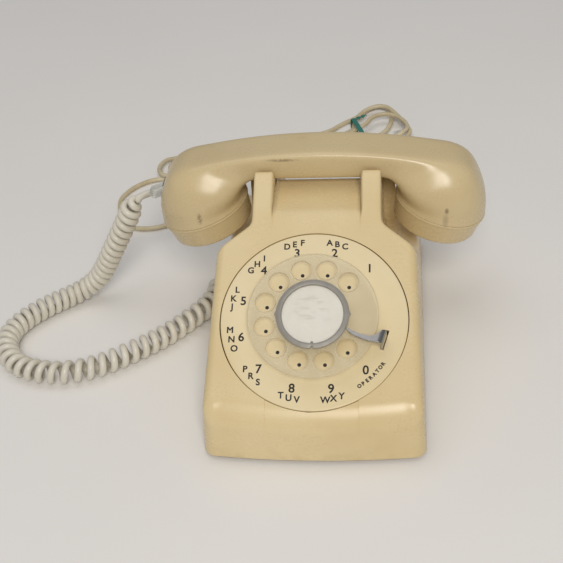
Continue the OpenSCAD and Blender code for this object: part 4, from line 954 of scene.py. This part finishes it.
inner_edge = [[0, UNDER], [18, UNDER], [36.5, UNDER], [43, UNDER - 0.5], [47, UNDER - 3],
              [49.4, UNDER - 6.6], [50.4, UNDER - 9.2], [50.5, UNDER - 11.6], [50, UNDER - 13.8],
              SEAM - SHELL_R * seam_dir]
top_half = [15.5, 15.5, 15.5, 15.6, 16.4, 19, 23, 26.4, 28.6, SHELL_R]
mid_half = [14, 14, 14.6, 17, 21.4, 25.4, 27.8, 28.9, 29.2, SHELL_R]
low_half = [12.5, 12.5, 13, 14.6, 18, 22, 25, 27.2, 28.4, SHELL_R]
square = [7, 7, 6.6, 6, 5, 4, 3.2, 2.5, 2.1, 2]


def curve_at(values, t):
    """A Catmull-Rom curve through a list of numbers or points, at shares t of its length."""
    p = np.asarray(values, float)
    p = p[:, None] if p.ndim == 1 else p
    n = len(p) - 1
    i = np.minimum((t * n).astype(int), n - 1)
    u = (t * n - i)[:, None]
    a, b, c, d = p[np.maximum(i - 1, 0)], p[i], p[i + 1], p[np.minimum(i + 2, n)]
    return 0.5 * (2 * b + (c - a) * u + (2 * a - 5 * b + 4 * c - d) * u ** 2
                  + (3 * b - 3 * c + d - a) * u ** 3)


def handset_sections(t, around, side):
    """Rings across the handset: from the inner to the outer edge by sin a and across by cos a,
    each raised to a power that squares the section, with widths for its top, middle and foot."""
    outer, inner = curve_at(outer_edge, t), curve_at(inner_edge, t)
    w_top, w_mid, w_low, q = (curve_at(v, t) for v in (top_half, mid_half, low_half, square))
    a = around[None]
    q_up = np.where(np.sin(a) > 0, q, 2 + (q - 2) * 0.5)
    p = np.sign(np.sin(a)) * np.abs(np.sin(a)) ** (2 / q_up)
    w = w_mid + (w_top - w_low) / 2 * p + ((w_top + w_low) / 2 - w_mid) * p ** 2
    y = 49 + w * np.sign(np.cos(a)) * np.abs(np.cos(a)) ** (2 / q)
    e = ((outer + inner)[:, None] + (outer - inner)[:, None] * p[..., None]) / 2
    return np.stack([side * e[..., 0], y, e[..., 1]], -1)


def even_angles(n):
    """Angles whose points are spread evenly round a squarish section."""
    a = np.linspace(0, 2 * math.pi, 2000)
    x = np.sign(np.cos(a)) * np.abs(np.cos(a)) ** 0.4
    y = np.sign(np.sin(a)) * np.abs(np.sin(a)) ** 0.4
    s = np.concatenate([[0], np.cumsum(np.hypot(np.diff(x), np.diff(y)))])
    return np.interp(np.linspace(0, s[-1], n, endpoint=False), s, a)


def at_seam(grid, side):
    """From a cap's own axes, height outwards along its tilt, to the telephone's."""
    x, y, s = grid[..., 0], grid[..., 1], grid[..., 2]
    along = SEAM[0] + s * cap_dir[0] + x * seam_dir[0]
    return np.stack([side * along, 49 + y, SEAM[1] + s * cap_dir[1] + x * seam_dir[1]], -1)


AROUND = even_angles(96)


def end_rings(side):
    """The bore behind a cap: rings from the seam's edge in to its floor, in the sections' order."""
    depth = [(27, 0.0), (27, 0.6), (25.1, 0.6), (25.1, -8), (0, -8)]
    rings = [np.stack([r * np.sin(AROUND), r * np.cos(AROUND), np.full(96, s)], -1)
             for r, s in depth]
    return at_seam(np.stack(rings), side)


t = np.linspace(0, 1, 76)
halves = {side: np.concatenate([handset_sections(t, AROUND, side), end_rings(side)])
          for side in (-1, 1)}
shell_grid = np.concatenate([halves[-1][:0:-1], halves[1]])
shell = piece("handset_moulding", "handset", [grip], skin(shell_grid), sharp=50)


def jack_recess():
    """The recess for the cord's plug, as a box along the socket's slope."""
    ring = np.array([[-5, -5.5, 0], [5, -5.5, 0], [5, 5.5, 0], [-5, 5.5, 0]])
    grid = np.stack([ring + [0, 0, -18.5], ring + [0, 0, 12]])
    out = -plug_ahead
    turn = np.stack([np.cross([0, 1, 0], out), [0, 1, 0], out])
    return grid @ turn + SOCKET


cut(shell, cutter(solid(jack_recess())))
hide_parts("handset_shell")
cap_outline = rounded([[27.2, 0.3, 0], [CAP_R, 0.3, 0.3], [CAP_R, 1.7, 0.4], [29.4, 2.3, 0.4],
                       [27.4, 16, 2.2], [0, 16, 0], [0, 13.8, 0], [27.2, 13.8, 0]], 5)
cap_outline = np.concatenate([cap_outline, cap_outline[:1]])
HOLES = {-1: [(0, 1), (5, 6), (10, 12), (15, 18)], 1: [(4.5, 6), (9, 8)]}
for side, name, node in ((-1, "mouth_cap", "transmitter_cap"), (1, "ear_cap", "receiver_cap")):
    cap = piece(name, "handset", [grip], skin(at_seam(lathe(cap_outline, 120), side)))
    spots = [(r, 2 * math.pi * k / n) for r, n in HOLES[side] for k in range(n)]
    cut(cap, cutter(*[solid(at_seam(rod((r * math.cos(q), r * math.sin(q)), 1.1, 11, 19, 16), side))
                      for r, q in spots]))
    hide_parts(node)

# ---- Working parts inside ----
# These keep their CAD shapes. Each gets the finish of its real material: plated and painted
# steel, brass, bell metal, phenolic, nylon, taped copper, rubber, felt and pierced aluminium.


def metal(name, light, dark, rough, grain=1.2, stretch=(1, 1, 1)):
    """Bare or plated metal: two tones in a fine grain, duller where it has aged."""
    finish = Finish(name, Metallic=1.0)
    finish.feed(Base_Color=finish.mix(finish.noise(9, 4), light, dark),
                Roughness=rough + 0.22 * finish.noise(5, 4))
    finish.bump(finish.noise(grain, 2, stretch), 0.02)
    return finish


def dull(name, light, dark, rough, grain=1.5, depth=0.05, size=12):
    """Paint, plastic, rubber or cloth: two tones, a grain and a soft sheen."""
    finish = Finish(name)
    finish.feed(Base_Color=finish.mix(finish.noise(size, 4), light, dark),
                Roughness=rough + 0.15 * finish.noise(6, 3))
    finish.bump(finish.noise(grain, 3), depth)
    return finish


inner_finishes = {
    "steel": metal("zinc_steel", rgb(176, 178, 180), rgb(142, 144, 148), 0.3, 0.7, (1, 0.15, 1)),
    "painted_steel": dull("grey_paint", rgb(122, 124, 126), rgb(98, 100, 102), 0.4, 1.1, 0.06),
    "brass": metal("worn_brass", rgb(200, 160, 84), rgb(156, 116, 54), 0.26),
    "bell_metal": metal("bell_metal", rgb(196, 170, 104), rgb(166, 138, 78), 0.18, 2.5),
    "phenolic": dull("brown_phenolic", rgb(92, 56, 38), rgb(64, 38, 26), 0.45, 0.9, 0.08),
    "dark_plastic": dull("dark_plastic", rgb(42, 41, 40), rgb(28, 27, 27), 0.4),
    "nylon": dull("white_nylon", rgb(238, 234, 222), rgb(222, 216, 198), 0.35),
    "coil_winding": dull("taped_winding", rgb(146, 92, 50), rgb(104, 62, 34), 0.5, 0.8, 0.15, 3),
    "rubber": dull("black_rubber", rgb(40, 38, 36), rgb(26, 25, 24), 0.65, 1.0, 0.08),
    "felt": dull("grey_felt", rgb(196, 188, 168), rgb(168, 160, 140), 0.9, 0.6, 0.25, 4),
    "capsule_metal": metal("pierced_aluminium", rgb(184, 184, 182), rgb(150, 150, 148), 0.35),
}
for part in frame["record"]["subparts"]:
    made, finish = frame["nodes"][part["node"]], inner_finishes.get(part["material_slot"])
    if finish:
        made.data.materials.clear()
        made.data.materials.append(finish.material)

# ---- Table and light ----
# A plain pale floor. Two tall narrow lights near the camera, a broad soft one overhead and a
# dim even surround.
floor_paint = Finish("pale_floor", Roughness=0.75)
floor_paint.feed(Base_Color=floor_paint.mix(floor_paint.noise(200), rgb(240, 238, 235),
                                            rgb(233, 231, 228)))
span = np.linspace(-2500, 2500, 3)
floor = piece("floor", None, [floor_paint], skin(np.stack(
    [*np.meshgrid(span, span, indexing="ij"), np.zeros((3, 3))], -1), wrap=False))


def area_light(name, place, aim, width, height, power, tone=(1, 0.95, 0.88)):
    """A flat soft light at a place, turned towards a point."""
    lamp = bpy.data.lights.new(name, "AREA")
    lamp.shape, lamp.size, lamp.size_y = "RECTANGLE", width, height
    lamp.energy, lamp.color = power, tone
    holder = bpy.data.objects.new(name, lamp)
    bpy.context.scene.collection.objects.link(holder)
    back = unit(np.array(place, float) - aim)
    side = unit(np.cross([0, 0, 1], back))
    turned = np.eye(4)
    turned[:3] = np.stack([side, np.cross(back, side), back, place], 1)
    holder.matrix_world = Matrix(turned.tolist())


area_light("pane_left", (0.02, -1.6, 1.55), (0, 0, 0.05), 0.34, 0.8, 10)
area_light("pane_right", (0.46, -1.55, 1.55), (0, 0, 0.05), 0.34, 0.8, 14)
area_light("overhead", (-0.2, 0.3, 2.0), (0, 0, 0), 1.6, 1.6, 9, (1, 0.97, 0.93))
world = bpy.data.worlds.new("surround")
world.use_nodes = True
world.node_tree.nodes["Background"].inputs["Color"].default_value = (0.93, 0.95, 1, 1)
world.node_tree.nodes["Background"].inputs["Strength"].default_value = 0.27
bpy.context.scene.world = world
bpy.context.scene.view_settings.view_transform = "Standard"
